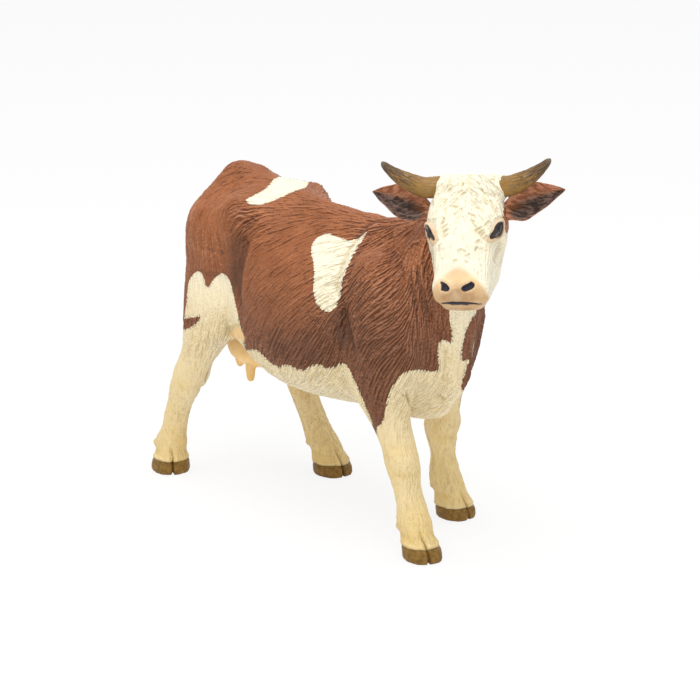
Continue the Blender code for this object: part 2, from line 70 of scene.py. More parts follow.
def photo_pixels(points):
    """Pixel column and row of points: their offsets along the camera's right and up, over their depth,
    times the focal length. The third value is the depth."""
    offset = points - view_target
    depth = view_distance - offset @ to_camera
    column = photo_width / 2 + focal_pixels * (offset @ camera_right) / depth
    row = photo_width / 2 - focal_pixels * (offset @ camera_up) / depth
    return np.stack((column, row, depth), axis=-1)


# The head hangs from the poll, turned to the right and down, so it has its own directions: down the face,
# to its left, and out of the forehead.
head_turn, head_pitch, head_roll = math.radians(-50.5), math.radians(-50.0), math.radians(5.5)
poll = np.array((0.04398, 0.0, 0.0996))
head_down = np.array((math.cos(head_pitch) * math.cos(head_turn), math.cos(head_pitch) * math.sin(head_turn),
                      math.sin(head_pitch)))
head_level = np.array((-math.sin(head_turn), math.cos(head_turn), 0.0))
head_left = head_level * math.cos(head_roll) + np.cross(head_down, head_level) * math.sin(head_roll)
head_out = np.cross(head_down, head_left)
head_axes = np.stack((head_down, head_left, head_out), axis=1)

# The skin of the body: trunk, neck, head and legs are separate mouldings of soft vinyl, glued and rubbed
# down so that they read as one animal. Here their forms are fused and smoothed first, carved as one, and
# parted again at the end.
mm = 0.001
skin_voxel = 0.00040
seam_closing = 0.0002

fused = bmesh.new()
for name in ("torso", "head_and_neck", "leg_front_right", "leg_front_left", "leg_hind_right",
             "leg_hind_left"):
    part = bmesh.new()
    part.from_mesh(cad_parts[name].data)
    bmesh.ops.remove_doubles(part, verts=part.verts, dist=1e-6)
    part.normal_update()
    for vertex in part.verts:
        vertex.co += vertex.normal * seam_closing
    part_mesh = bpy.data.meshes.new("part")
    part.to_mesh(part_mesh)
    fused.from_mesh(part_mesh)
    part.free()
# Horns, ears, tail and udder have sockets in the mouldings. These are filled, and the forehead's hair is
# built out round the horns, further on the left, where the head turns away.
for centre, radii in ((poll + head_axes @ (0.0072, 0.0083, -0.0052), (0.0026, 0.0024, 0.0024)),
                      (poll + head_axes @ (0.0072, -0.0083, -0.0052), (0.0026, 0.0024, 0.0024)),
                      ((-0.0434, 0.0, 0.0845), (0.0030, 0.0025, 0.0025)),
                      ((-0.0482, 0.0, 0.0850), (0.0028, 0.0023, 0.0023)),
                      ((-0.0512, 0.0, 0.0825), (0.0022, 0.0021, 0.0026)),
                      ((-0.0379, 0.0, 0.0420), (0.0105, 0.0080, 0.0045))):
    bmesh.ops.create_icosphere(fused, subdivisions=3, radius=1.0,
                               matrix=Matrix.Translation(Vector(centre)) @ Matrix.Diagonal((*radii, 1.0)))
across_head = Vector(head_left).to_track_quat("Z", "Y").to_matrix().to_4x4()
for far_end in (0.0101, -0.0079):
    middle = poll + head_axes @ np.array((0.00165, 0.5 * far_end, -0.00165))
    bmesh.ops.create_cone(fused, cap_ends=True, segments=40, radius1=0.0035, radius2=0.0035,
                          depth=abs(far_end),
                          matrix=Matrix.Translation(Vector(middle)) @ across_head)
# The clefts of the hooves are filled too, and cut again when the legs are carved.
for toe in ((0.0398, -0.0130), (0.0233, 0.0159), (-0.0593, -0.0184), (-0.0254, 0.0145)):
    bmesh.ops.create_cube(fused, size=1.0, matrix=Matrix.Translation((toe[0] + 0.0028, toe[1], 0.0018))
                          @ Matrix.Diagonal((0.0046, 0.0012, 0.0034, 1.0)))
bmesh.ops.triangulate(fused, faces=[face for face in fused.faces if len(face.verts) > 4])


def wrapped(forms, voxel):
    """One even net of four-sided faces round all the closed forms of a bmesh: its points and its faces."""
    mesh = bpy.data.meshes.new("forms")
    forms.to_mesh(mesh)
    forms.free()
    holder = bpy.data.objects.new("forms", mesh)
    bpy.context.scene.collection.objects.link(holder)
    wrap = holder.modifiers.new("wrap", "REMESH")
    wrap.mode, wrap.voxel_size = "VOXEL", voxel
    bpy.context.view_layer.update()
    mesh = bpy.data.meshes.new_from_object(holder.evaluated_get(bpy.context.evaluated_depsgraph_get()))
    bpy.data.objects.remove(holder)
    points, faces = np.zeros(len(mesh.vertices) * 3, np.float32), np.zeros(len(mesh.loops), np.int32)
    mesh.vertices.foreach_get("co", points)
    mesh.loops.foreach_get("vertex_index", faces)
    return points.reshape(-1, 3).astype(np.float64), faces.reshape(-1, 4)


def sides_of(faces, count):
    """Every side of every face as one number: its lower end times the count of points, plus its higher
    end."""
    sides = np.stack((faces, np.roll(faces, -1, axis=1)), axis=2).reshape(-1, 2).astype(np.int64)
    return sides.min(axis=1) * count + sides.max(axis=1)


def net_of(faces, count):
    """Each point's neighbours, one run after another; where each run starts; and how long it is."""
    keys = np.unique(sides_of(faces, count))
    ends, others = np.concatenate((keys // count,
                                   keys % count)), np.concatenate((keys % count, keys // count))
    number = np.bincount(ends, minlength=count)
    return others[np.argsort(ends, kind="stable")], np.cumsum(number) - number, number


def evened(values, net, rounds, share):
    """Values drawn towards the mean of their neighbours' by a share of the difference, round after round."""
    neighbours, starts, number = net
    number = number[:, None] if values.ndim == 2 else number
    for _ in range(rounds):
        values = values + share * (np.add.reduceat(values[neighbours], starts, axis=0) / number - values)
    return values


def normals_of(points, faces):
    """Normals at the points: the cross product of each face's diagonals, summed at its corners, at length
    one."""
    corner = points[faces]
    face = np.cross(corner[:, 2] - corner[:, 0], corner[:, 3] - corner[:, 1])
    normal = np.stack([np.bincount(faces.ravel(), np.repeat(face[:, k], 4), len(points)) for k in range(3)],
                      axis=1)
    return normal / np.maximum(np.linalg.norm(normal, axis=1, keepdims=True), 1e-12)


def ramp(values, low, high):
    """0 below the low end, 1 above the high one, and the smooth cubic 3t² − 2t³ between."""
    t = np.clip((values - low) / (high - low), 0.0, 1.0)
    return t * t * (3.0 - 2.0 * t)


def bell(values, middle, width):
    """Bell curve exp(-((v - middle) / width)²)."""
    return np.exp(-((values - middle) / width) ** 2)


# Rubbing down takes the facets out of the trunk and neck, and less out of the head and legs, whose forms
# are small.
even_rounds, trunk_rounds = 11, 57
leg_top, head_start = 0.040, 0.001
skin, quads = wrapped(fused, skin_voxel)
skin_net = net_of(quads, len(skin))
past_neck = ramp((skin - poll) @ head_down, head_start, head_start + 0.004)
not_throat = ramp((skin - poll) @ head_out, -0.020, -0.014)
trunk = ramp(skin[:, 2], leg_top - 0.004, leg_top + 0.003) * (1.0 - 0.85 * past_neck * not_throat)
skin = evened(evened(skin, skin_net, even_rounds, 0.5), skin_net, trunk_rounds, 0.5 * trunk[:, None])

# Carving from the photo: a stroke runs through pixels of the photo, and each lands on the skin that is seen
# there.
# Raised strokes are bones, muscles and folds, sunk ones are hollows and creases.


def face_camera(part):
    """Works out a part's normals, its pixels on the photo, and how far each point faces the camera."""
    part["normals"] = normals_of(part["points"], part["faces"])
    part["pixels"] = photo_pixels(part["points"])
    part["facing"] = part["normals"] @ to_camera


def on_photo(part, pixels):
    """The points seen at pixels: of those that face the camera within 1.6 pixels, the nearest to it."""
    found = []
    for column, row in pixels:
        apart = (part["pixels"][:, 0] - column) ** 2 + (part["pixels"][:, 1] - row) ** 2
        apart = np.where(part["facing"] > 0.05, apart, 1e6)
        near = np.flatnonzero(apart <= max(1.6 ** 2, apart.min() * 1.5))
        found.append(near[np.argmin(part["pixels"][near, 2])])
    return np.array(found)


def along_path(points, path):
    """Distance of points from a path, and the place along it from 0 to 1: the least over its segments of |p
    - a - t (b - a)|, with t held between 0 and 1."""
    best, place = np.full(len(points), 1.0), np.zeros(len(points))
    for k, (start, end) in enumerate(zip(path[:-1], path[1:])):
        run = end - start
        t = np.clip((points - start) @ run / max(run @ run, 1e-12), 0.0, 1.0)
        apart = np.linalg.norm(points - start - t[:, None] * run, axis=1)
        nearer = apart < best
        best[nearer] = apart[nearer]
        place[nearer] = ((k + t) / (len(path) - 1))[nearer]
    return best, place


def press(part, layer, height, width, path, lean, whole=False):
    """Adds height · exp(-(distance / width)²) along a path to one of a part's layers, thinned at the path's
    ends, where the surface leans the path's way."""
    points, path = part["points"], np.array(path)
    if len(path) == 1:
        path, whole = np.concatenate((path, path)), True
    low, high = path.min(axis=0) - 3 * width, path.max(axis=0) + 3 * width
    near = np.flatnonzero(((points > low) & (points < high)).all(axis=1))
    apart, place = along_path(points[near], path)
    thin = 1.0 if whole else np.minimum(1.0, 0.25 + 4.0 * np.minimum(place, 1.0 - place))
    turned = np.clip(1.6 * (part["normals"][near] @ lean), 0.0, 1.0)
    part[layer][near] += height * thin * turned * bell(apart, 0.0, width)


def stroke(part, height, width, *pixels, both=True, layer="relief"):
    """Presses a path of pixels into a part, its width and a carved height in millimetres. The body's other
    side gets the same, through its middle plane."""
    spots = on_photo(part, pixels)
    path, lean = part["points"][spots], part["normals"][spots].mean(axis=0)
    height *= mm if layer in ("relief", "groove") else 1.0
    for flip in (1.0, -1.0)[:1 + both]:
        press(part, layer, height, width * mm, path * (1.0, flip, 1.0), lean * (1.0, flip, 1.0))


body = {"points": skin, "faces": quads, "net": skin_net, "relief": np.zeros(len(skin))}
face_camera(body)
for height, width, *pixels in (
        # Rump and hip: hook and pin bones, the hollow of the flank with its folds, the thigh and its tendons
        (0.6, 1.6, (211, 215), (222, 207), (234, 199)), (0.7, 2.4, (236, 200)), (0.5, 2.4, (198, 208)),
        (-0.6, 0.6, (234, 207), (246, 209), (258, 215)), (0.4, 0.6, (236, 210), (247, 211), (257, 217)),
        (-0.6, 0.6, (235, 213), (246, 214), (256, 219)), (0.4, 0.6, (236, 217), (245, 218), (253, 221)),
        (-0.5, 0.6, (236, 222), (244, 222), (251, 221)),
        (-1.7, 2, (246, 226), (241, 250), (236, 272), (235, 296), (240, 318)),
        (0.8, 6, (210, 250), (208, 275)), (0.3, 1, (221, 220), (229, 237), (232, 252)),
        (0.3, 1, (204, 245), (211, 262)), (-0.3, 1.2, (213, 226), (219, 246), (222, 262)),
        (0.6, 2.2, (240, 168), (250, 172)), (-0.5, 1.6, (256, 180), (240, 186), (226, 190)),
        # Shoulder: the blade's rear edge, the elbow folds, the arm muscles and the point of the shoulder
        (0.7, 1.1, (388, 218), (369, 230), (355, 251), (344, 279), (342, 296)),
        (-0.7, 1.3, (378, 217), (360, 229), (346, 250), (336, 278), (334, 300)),
        (-1.3, 1.2, (341, 300), (345, 324), (350, 345), (354, 360)),
        (-0.7, 0.6, (334, 322), (337, 338), (341, 352)), (-0.7, 0.6, (340, 312), (342, 330), (346, 344)),
        (0.8, 4.5, (366, 320), (370, 345)), (0.5, 3, (376, 270), (372, 300)),
        (-0.4, 1.8, (392, 250), (388, 275), (390, 300), (385, 330)), (0.7, 3, (410, 347), (402, 352)),
        (-0.6, 1.8, (404, 252), (397, 277), (399, 300), (410, 326), (419, 343), (430, 362)),
        # Neck folds
        (-0.8, 0.7, (415, 266), (418, 291), (428, 317)), (-0.8, 0.7, (422, 258), (427, 280), (433, 301)),
        (-0.6, 0.6, (409, 268), (410, 290), (418, 312)), (0.5, 0.9, (419, 262), (422, 285), (430, 309)),
        (0.6, 0.6, (424, 239), (412, 244), (403, 253)),
        # Dewlap and brisket
        (0.9, 2.2, (460, 318), (457, 345), (455, 372), (452, 400)),
        (-0.5, 1, (447, 345), (446, 365), (444, 385))):
    stroke(body, height, width, *pixels)
# Barrel: faint ribs, each a little higher than the one behind it
for shift in (0, 16, 32, 48):
    rise = 0.3 * shift
    stroke(body, 0.22, 1.4, (262 + shift, 246 - rise), (257 + shift, 275 - rise), (262 + shift, 305 - rise))
# Only on the right: the hollow in front of the hook bone, and the folds under the brisket
for height, width, *pixels in (
        (-1.1, 3, (246, 219), (252, 226)), (-1, 0.7, (407, 391), (411, 399), (412, 407)),
        (-0.7, 0.5, (401, 395), (406, 398), (412, 401)), (-0.4, 0.5, (412, 404), (430, 411), (450, 406)),
        (-0.6, 0.5, (438, 396), (443, 397.5), (447, 401))):
    stroke(body, height, width, *pixels, both=False)
body["relief"] = evened(body["relief"], skin_net, 1, 0.5)
skin = evened(skin + body["normals"] * body["relief"][:, None], skin_net, 1, 0.4)
body["points"] = skin
face_camera(body)

# Hair is combed into the vinyl as fine strokes that follow the lie of the coat. Marks give its direction at
# pixels of the photo, and noise drawn out along it gives the strokes.
combing_reach = 0.0065
mark_directions = (  # column and row, then the way across and down
    (240, 176, -0.9, 0.35), (262, 182, -0.95, 0.1), (300, 200, -1.0, -0.22), (345, 214, -1.0, -0.25),
    (380, 222, -1.0, -0.2), (222, 196, -0.8, 0.6), (240, 212, -0.95, 0.3), (256, 216, -1.0, 0.1),
    (200, 215, -0.3, 1.0),
    (198, 250, 0.0, 1.0), (215, 250, 0.12, 1.0), (230, 240, 0.1, 1.0), (200, 290, 0.0, 1.0),
    (222, 295, 0.1, 1.0),
    (195, 330, -0.2, 1.0), (225, 320, -0.3, 1.0), (285, 215, -0.97, 0.2), (300, 240, -0.88, 0.47),
    (270, 240, -0.85, 0.5), (265, 280, -0.7, 0.7), (290, 290, -0.75, 0.65), (310, 300, -0.8, 0.6),
    (262, 330, -0.35, 0.95), (290, 345, -0.5, 0.85), (320, 350, -0.55, 0.8), (335, 260, -0.95, 0.28),
    (335, 295, -0.85, 0.5), (330, 235, -1.0, 0.1), (350, 300, -0.5, 0.9), (345, 335, -0.1, 1.0),
    (360, 262, -0.72, 0.66), (375, 245, -0.8, 0.55), (395, 232, -0.85, 0.45), (382, 280, -0.85, 0.5),
    (372, 300, -0.8, 0.55), (388, 305, -0.95, 0.3), (375, 325, -0.85, 0.45), (390, 330, -0.95, 0.2),
    (385, 350, -0.9, 0.3), (405, 350, -0.6, 0.7), (365, 350, -0.4, 0.9), (370, 380, -0.25, 1.0),
    (385, 375, -0.5, 0.9), (372, 410, 0.1, 1.0), (405, 240, -0.6, 0.8), (412, 265, -0.2, 1.0),
    (420, 280, 0.1, 1.0),
    (405, 300, -0.3, 0.95), (420, 320, 0.35, 0.95), (432, 330, 0.3, 1.0), (430, 355, 0.35, 0.9),
    (442, 320, 0.15, 1.0),
    (415, 365, -0.2, 0.9), (428, 392, -0.8, 0.5), (415, 385, -0.6, 0.8), (440, 405, -0.8, 0.4),
    (458, 330, -0.1, 1.0),
    (455, 360, -0.05, 1.0), (452, 390, -0.3, 1.0), (475, 330, -0.3, 1.0), (470, 350, -0.4, 1.0))
downward = np.array((0.0, 0.0, -1.0))
flow = 0.003 * np.array((-0.9, 0.0, -0.45)) + ramp(-skin[:, 2], -0.036, -0.030)[:, None] * downward
normals = body["normals"]
spots = on_photo(body, [mark[:2] for mark in mark_directions])
for spot, (_, _, across, down) in zip(spots, mark_directions):
    lie = camera_right * across - camera_up * down
    lie -= to_camera * (lie @ normals[spot]) / max(normals[spot] @ to_camera, 0.3)
    lie -= normals[spot] * (lie @ normals[spot])
    for side in ((1.0, 1.0, 1.0), (1.0, -1.0, 1.0)):
        apart = ((skin - skin[spot] * side) ** 2).sum(axis=1)
        flow += np.exp(-apart / combing_reach ** 2)[:, None] * (lie / np.linalg.norm(lie) * side)


def past_poll(place):
    """How far places on the head lie in front of the line from the poll to the jaw's rear end."""
    return 0.665 * place[:, 0] + 0.745 * place[:, 2]


def head_share(place):
    """1 on the head; 0 behind the poll and under the jaw."""
    under_jaw = place[:, 2] + 0.0205 - 0.4 * np.maximum(0.0, place[:, 0] - 0.014)
    return ramp(past_poll(place), -0.0065, -0.0045) * ramp(under_jaw, -0.0005, 0.0005)


head_place = (skin - poll) @ head_axes
on_head = head_share(head_place) * ramp(-np.abs(head_place[:, 1]), -0.0108, -0.0103)
lie = head_axes @ np.array((1.0, 0.0, 0.0)) + np.clip(head_place[:, 1:2] * 40.0, -0.5, 0.5) * head_left
flow = flow * (1.0 - on_head)[:, None] + lie * on_head[:, None]


def value_noise(points, size, seed):
    """Smooth noise about 0: random numbers on a lattice of the size given, blended between a point's eight
    nearest."""
    table = np.random.default_rng(seed).random((48, 48, 48)) - 0.5
    scaled = points / size
    low = np.floor(scaled).astype(np.int64)
    t = scaled - low
    t = t * t * (3.0 - 2.0 * t)
    low, high = low % 48, (low + 1) % 48
    total = 0.0
    for i in range(8):
        bits = np.array((i & 1, i >> 1 & 1, i >> 2 & 1), bool)
        corner = np.where(bits, high, low)
        total = total + np.where(bits, t, 1.0 - t).prod(axis=1) * table[tuple(corner.T)]
    return total


def lying(points, normal, lie, net, rounds=4):
    """Directions laid into the surface: smoothed over neighbours, freed of their part along the normal,
    length one."""
    for _ in range(rounds):
        lie = lie - normal * (lie * normal).sum(axis=1, keepdims=True)
        lie = lie / (np.linalg.norm(lie, axis=1, keepdims=True) + 1e-12)
        lie = evened(lie, net, 1, 0.6)
    lie = lie - normal * (lie * normal).sum(axis=1, keepdims=True)
    return lie / (np.linalg.norm(lie, axis=1, keepdims=True) + 1e-12)


def combed(points, lie, net, size, stride, steps, seed):
    """Strokes: noise added up along the lie of the coat, both ways from each point. Every step goes one
    stride on and takes its direction from the nearest of the last point's neighbours. The sum is scaled to
    a spread of one."""
    count, (neighbours, starts, number) = len(points), net
    options = np.repeat(np.arange(count)[:, None], number.max() + 1, axis=1)
    ends = np.repeat(np.arange(count), number)
    options[ends, 1 + np.arange(len(ends)) - np.repeat(starts, number)] = neighbours
    total = value_noise(points, size, seed)
    for way in (stride, -stride):
        here, place = np.arange(count), points.copy()
        for _ in range(steps):
            place += way * lie[here]
            choices = options[here]
            apart = ((points[choices] - place[:, None, :]) ** 2).sum(axis=2)
            here = choices[np.arange(count), apart.argmin(axis=1)]
            total += value_noise(place, size, seed)
    return total / total.std()


def finer(faces, count):
    """Each face parted into four. Gives the new faces, and the pairs whose middles are the new points on
    edges; the old faces' middles come after them."""
    keys, place = np.unique(sides_of(faces, count), return_inverse=True)
    middle = count + place.reshape(-1, 4)
    whole = count + len(keys) + np.arange(len(faces))
    parted = [np.stack((faces[:, k], middle[:, k], whole, middle[:, k - 1]), axis=1) for k in range(4)]
    return np.stack(parted, axis=1).reshape(-1, 4), np.stack((keys // count, keys % count), axis=1)


flow = lying(skin, normals, flow, skin_net)
# How far each point lies below the mean of its neighbours: the paint is darkened there later as painted shade
# in the hollows.
hollow = ((evened(skin, skin_net, 12, 0.5) - skin) * normals).sum(axis=1)
finer_quads, pairs = finer(quads, len(skin))
skin, flow, hollow = (np.concatenate((values, values[pairs].mean(axis=1), values[quads].mean(axis=1)))
                      for values in (skin, flow, hollow))
quads = finer_quads
skin_net = net_of(quads, len(skin))
skin = evened(skin, skin_net, 4, 0.5)
body.update(points=skin, faces=quads, net=skin_net, soot=np.zeros(len(skin)), fold=np.zeros(len(skin)),
            groove=np.zeros(len(skin)))
face_camera(body)
normals = body["normals"]
flow = lying(skin, normals, flow, skin_net, 1)
head_place = (skin - poll) @ head_axes
cheek_width = np.interp(head_place[:, 0], (0.012, 0.0175, 0.023, 0.028, 0.034),
                        (0.0106, 0.0092, 0.0083, 0.0079, 0.0074))
on_head = head_share(head_place) * ramp(cheek_width - np.abs(head_place[:, 1]), -0.0002, 0.0002)


def light_lean(points, faces, net):
    """Painted highlight and shade for a light from above and outside: how far the carved normals lean that
    way, less the lean of normals evened over the neighbours, between -2.6 and 2.6."""
    carved = normals_of(points, faces)
    lean = carved - evened(carved, net, 14, 0.5)
    outside = 0.4 * np.clip(points[:, 1] / 0.01, -1.0, 1.0)
    return np.clip((0.10 * lean[:, 0] + outside * lean[:, 1] + 0.9 * lean[:, 2]) / 0.072, -2.6, 2.6)


strand = combed(skin, flow, skin_net, 0.00030, 0.00022, 8, 11)
clump = combed(skin, flow, skin_net, 0.0008, 0.00042, 5, 12)
strand_depth, clump_depth = 0.00009, 0.00005
hair_height = 0.35 + 0.65 * ramp(skin[:, 2], 0.030, 0.042)
hair_height *= 1.0 - 0.75 * on_head
wave = strand_depth * np.clip(strand, -2.2, 2.2) + clump_depth * np.clip(clump, -2.0, 2.0)
skin += normals * (wave * hair_height)[:, None]
# The strands' colour also takes the light's lean: painted highlights on their upper, outer sides and painted
# shade under them.
strand = 0.45 * strand + light_lean(skin, quads, skin_net)

# The coat's pattern was painted by hand: cream over brown. Outlines are laid on the photo's pixels for what
# is seen in it; the far flank has its own, on the pixels where its mirror image would fall.
px_length = view_distance / focal_pixels
loin_band = ((243.3, 200.3), (254.8, 206.9), (277.6, 199.3), (294.9, 190.7), (311, 186), (300, 172),
             (276.5, 176),
             (266.7, 188), (255.9, 194.5))
shoulder_patch = ((327.5, 232), (314.4, 239), (310, 250), (314.5, 265), (312.8, 300), (327.5, 314.8),
                  (339.4, 303),
                  (342.6, 279), (349, 263), (359.5, 244.6), (368.5, 230), (359.5, 238), (350, 241),
                  (336, 236.7))
belly = ((236, 352), (251, 349), (258, 350), (277, 369), (285, 363), (303, 372), (315, 363), (330, 369.5),
         (341, 363),
         (347, 364), (360, 392), (376, 432), (376, 620), (236, 620))
thigh = ((187.5, 294), (189, 280), (197, 270), (203, 274), (206.6, 290), (215, 277), (223, 272), (230, 280),
         (234, 297), (238, 315), (244, 340), (262, 420), (250, 620), (120, 620), (150, 400), (184, 325))
thigh_spot = ((180, 319), (190, 318), (202, 316), (197, 322), (192, 327), (180, 331))
chest = ((374.5, 430), (384, 420), (387, 401), (391, 388), (398.7, 376), (409, 371), (422, 370),
         (439.7, 372.3),
         (438.2, 361), (438.2, 344), (442.6, 338.6), (451.4, 343.7), (452, 336.4), (449.2, 313), (449, 285),
         (477, 285),
         (477.8, 311.4), (467.6, 324.6), (462.4, 346.6), (461.7, 362.8), (470.5, 357), (464.6, 374.5),
         (460, 388),
         (463.5, 390), (461, 402), (459, 420), (462, 620), (372, 620))
far_saddle = ((300, 207), (284, 210), (264, 220), (258, 238), (268, 262), (290, 276), (312, 268), (322, 246),
              (318, 222), (312, 210))
far_chest = ((350, 430), (362, 421), (371, 404), (380, 390), (392, 378), (405, 372), (420, 371), (436, 372),
             (438, 350), (446, 338), (450, 313), (449, 285), (500, 285), (500, 620), (345, 620))
far_fore = ((300, 402), (318, 398), (330, 402), (338, 412), (334, 424), (326, 436), (322, 620), (250, 620))


def inside(pixels, outline, most=14.0):
    """Signed distance from an outline in pixels, positive inside it: the least distance to a side, and the
    side of it by how often a level ray crosses the outline. Its corners are cut: each side is kept from a
    quarter to three quarters of its length."""
    outline = np.array(outline, float)
    after = np.roll(outline, -1, axis=0)
    corners = np.stack((0.75 * outline + 0.25 * after, 0.25 * outline + 0.75 * after), axis=1).reshape(-1, 2)
    result = np.full(len(pixels), -most)
    low, high = corners.min(axis=0) - most, corners.max(axis=0) + most
    near = np.flatnonzero(((pixels > low) & (pixels < high)).all(axis=1))
    spot = pixels[near]
    apart, crossed = np.full(len(near), most), np.zeros(len(near), bool)
    for start, end in zip(corners, np.roll(corners, -1, axis=0)):
        run, offset = end - start, spot - start
        t = np.clip(offset @ run / (run @ run), 0.0, 1.0)
        apart = np.minimum(apart, np.hypot(*(offset - t[:, None] * run).T))
        spans = (start[1] > spot[:, 1]) != (end[1] > spot[:, 1])
        reach = start[0] + (spot[:, 1] - start[1]) / (run[1] if run[1] else 1.0) * run[0]
        crossed ^= spans & (spot[:, 0] < reach)
    result[near] = np.where(crossed, apart, -apart)
    return result


seen = photo_pixels(skin)[:, :2]
mirrored = photo_pixels(skin * (1.0, -1.0, 1.0))[:, :2]
near_coat = np.max([inside(seen, shape) for shape in (loin_band, shoulder_patch, belly, thigh, chest)],
                   axis=0)
near_coat = np.minimum(near_coat, -inside(seen, thigh_spot))
far_coat = np.max([inside(mirrored, shape) for shape in (far_saddle, belly, thigh, far_chest, far_fore)],
                  axis=0)
far_coat = np.maximum(far_coat, np.minimum(0.0435 - skin[:, 2], -0.0125 - skin[:, 0]) / px_length)
open_side = np.maximum(ramp(-skin[:, 1], -0.017, -0.013), ramp(-skin[:, 2], -0.046, -0.044))
by_photo = np.maximum(ramp(-skin[:, 1], -0.0005, 0.0005), ramp(body["facing"], -0.02, 0.15) * open_side)
coat = (near_coat * by_photo + far_coat * (1.0 - by_photo)) * px_length
coat = np.where(skin[:, 2] < 0.030, 0.003, coat)
coat = np.maximum(coat, np.where(on_head > 0.5, 0.003, -0.004))
shaggy = 0.45 + 0.55 * np.maximum(ramp(skin[:, 0], 0.004, 0.016), ramp(-skin[:, 2], -0.058, -0.050))
strand = strand * shaggy
low_down = ramp(-skin[:, 2], -0.074, -0.046)
tan = 0.50 * low_down + 0.24 * ramp(-skin[:, 2], -0.050, -0.020) + 0.10 * ramp(-skin[:, 2], -0.020, -0.006)
# Painted light: less tan where the surface faces down, so the belly is painted lighter.
tan *= 1.0 - 0.45 * ramp(-body["normals"][:, 2], 0.2, 0.8)
# Painted shade in the recess between thigh and belly, behind the elbow, along the lower barrel and in the
# neck folds.
stroke(body, 0.85, 2.8, (240, 226), (236, 250), (234, 275), (236, 296), layer="soot")
stroke(body, 0.5, 3, (341, 305), (343, 325), (347, 348), layer="soot")
stroke(body, 0.3, 6, (262, 335), (290, 350), (320, 350), layer="soot")
stroke(body, 0.3, 2.6, (418, 262), (420, 290), (428, 315), layer="soot")
stroke(body, 1.3, 1.7, (231, 341), (237, 333), (243, 338), both=False, layer="fold")
# Painted shade along the groove between the thigh and the udder.
stroke(body, 0.22, 0.8, (225.5, 338.5), (228.5, 332), (234, 326.5), (240, 326), both=False, layer="groove")
stroke(body, 0.16, 1.2, (226, 336), (231, 330), both=False, layer="groove")
hollow += body["groove"]
# Painted shade on the brown: darker lower down, and on the lower part of the shoulder.
soot = body["soot"] + 0.55 * ramp(-skin[:, 2], -0.078, -0.052)
soot += 0.22 * ramp(skin[:, 0], 0.004, 0.018) * ramp(-skin[:, 2], -0.080, -0.070)
coat = evened(coat, skin_net, 3, 0.5)

# The skin is parted where the mouldings meet, and the big torso into sides and lengths.
centre = skin[quads].mean(axis=1)
centre_head = (centre - poll) @ head_axes
head_side = (on_head[quads].mean(axis=1) > 0.0) & (past_poll(centre_head) > -0.0059)
neck_side = centre[:, 0] - 0.0293 - (0.0868 - centre[:, 2]) * 0.4127
leg_cut_fore, leg_cut_hind = 0.0322, 0.0336
fore = centre[:, 0] > 0.0
below = centre[:, 2] < np.where(fore, leg_cut_fore, leg_cut_hind)
piece_number = np.select(
    (below & fore & (centre[:, 1] < 0), below & fore, below & (centre[:, 1] < 0), below,
     head_side, neck_side > 0), (2, 3, 4, 5, 1, 0), 6 + np.digitize(centre[:, 0], (-0.033, -0.009, 0.016))
    + 4 * (centre[:, 1] > 0.0))
piece_words = ("neck", "head", "leg_front_right", "leg_front_left", "leg_hind_right", "leg_hind_left",
               "rump_right",
               "loin_right", "barrel_right", "chest_right", "rump_left", "loin_left", "barrel_left",
               "chest_left")
carried = {"coat": coat, "strand": strand, "hollow": hollow / mm, "tan": tan, "soot": soot,
           "fold": body["fold"]}


def rim_of(faces, count):
    """Points on the open rim: the ends of the sides that only one face has."""
    keys, number = np.unique(sides_of(faces, count), return_counts=True)
    single = keys[number == 1]
    rim = np.zeros(count, bool)
    rim[single // count] = rim[single % count] = True
    return rim


skin_normal = normals_of(skin, quads)
part_of = {}
for number, word in enumerate(piece_words):
    used, faces = np.unique(quads[piece_number == number], return_inverse=True)
    faces = faces.reshape(-1, 4)
    part_of[word] = {"points": skin[used], "faces": faces, "net": net_of(faces, len(used)),
                     "rim": rim_of(faces, len(used)), "rim_normals": skin_normal[used],
                     "relief": np.zeros(len(used)), **{key: values[used] for key, values in carried.items()}}
    face_camera(part_of[word])


def settle(part, rounds=1):
    """Moves a part's points along their normals by its relief, evened over its neighbours first, and clears
    it. The rim stays, so that the parts still meet."""
    relief = evened(part["relief"], part["net"], rounds, 0.5)
    moved = part["points"] + part["normals"] * relief[:, None]
    part["points"] = np.where(part["rim"][:, None], part["points"], moved)
    part["relief"] = np.zeros(len(moved))
    face_camera(part)


def place_piece(word, mesh, material, layers, slot, *nodes):
    """Finishes a smooth-shaded piece: a named number at each point for every layer, its material and its
    place."""
    mesh.polygons.foreach_set("use_smooth", np.ones(len(mesh.polygons), bool))
    for key, values in layers.items():
        mesh.attributes.new(key, "FLOAT", "POINT").data.foreach_set("value", np.asarray(values, np.float32))
    mesh.materials.append(material)
    piece = bpy.data.objects.new(word, mesh)
    bpy.context.scene.collection.objects.link(piece)
    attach(piece, "root")
    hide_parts(*nodes)


def put_skin(word, part, material, slot, node):
    """Makes a part of the skin a piece. Its normals meet its neighbours' at the rim."""
    points, faces = part["points"], part["faces"]
    mesh = bpy.data.meshes.new(word)
    mesh.vertices.add(len(points))
    mesh.vertices.foreach_set("co", points.astype(np.float32).ravel())
    mesh.loops.add(len(faces) * 4)
    mesh.loops.foreach_set("vertex_index", faces.astype(np.int32).ravel())
    mesh.polygons.add(len(faces))
    mesh.polygons.foreach_set("loop_start", np.arange(0, len(faces) * 4, 4, dtype=np.int32))
    mesh.update(calc_edges=True)
    mesh.validate()
    shape = ("points", "normals", "faces", "rim", "rim_normals", "net", "relief", "pixels", "facing")
    layers = {key: values for key, values in part.items() if key not in shape}
    place_piece(word, mesh, material, layers, slot, node)
    shading = normals_of(points, faces)
    shading[part["rim"]] = part["rim_normals"][part["rim"]]
    mesh.normals_split_custom_set_from_vertices(shading.tolist())


# The head is one moulding with the face carved into it: eye sockets with swollen lids, nostrils, lips and
# forehead curls. Places here are millimetres down the face, to its left, and out of the forehead.
head = part_of["head"]


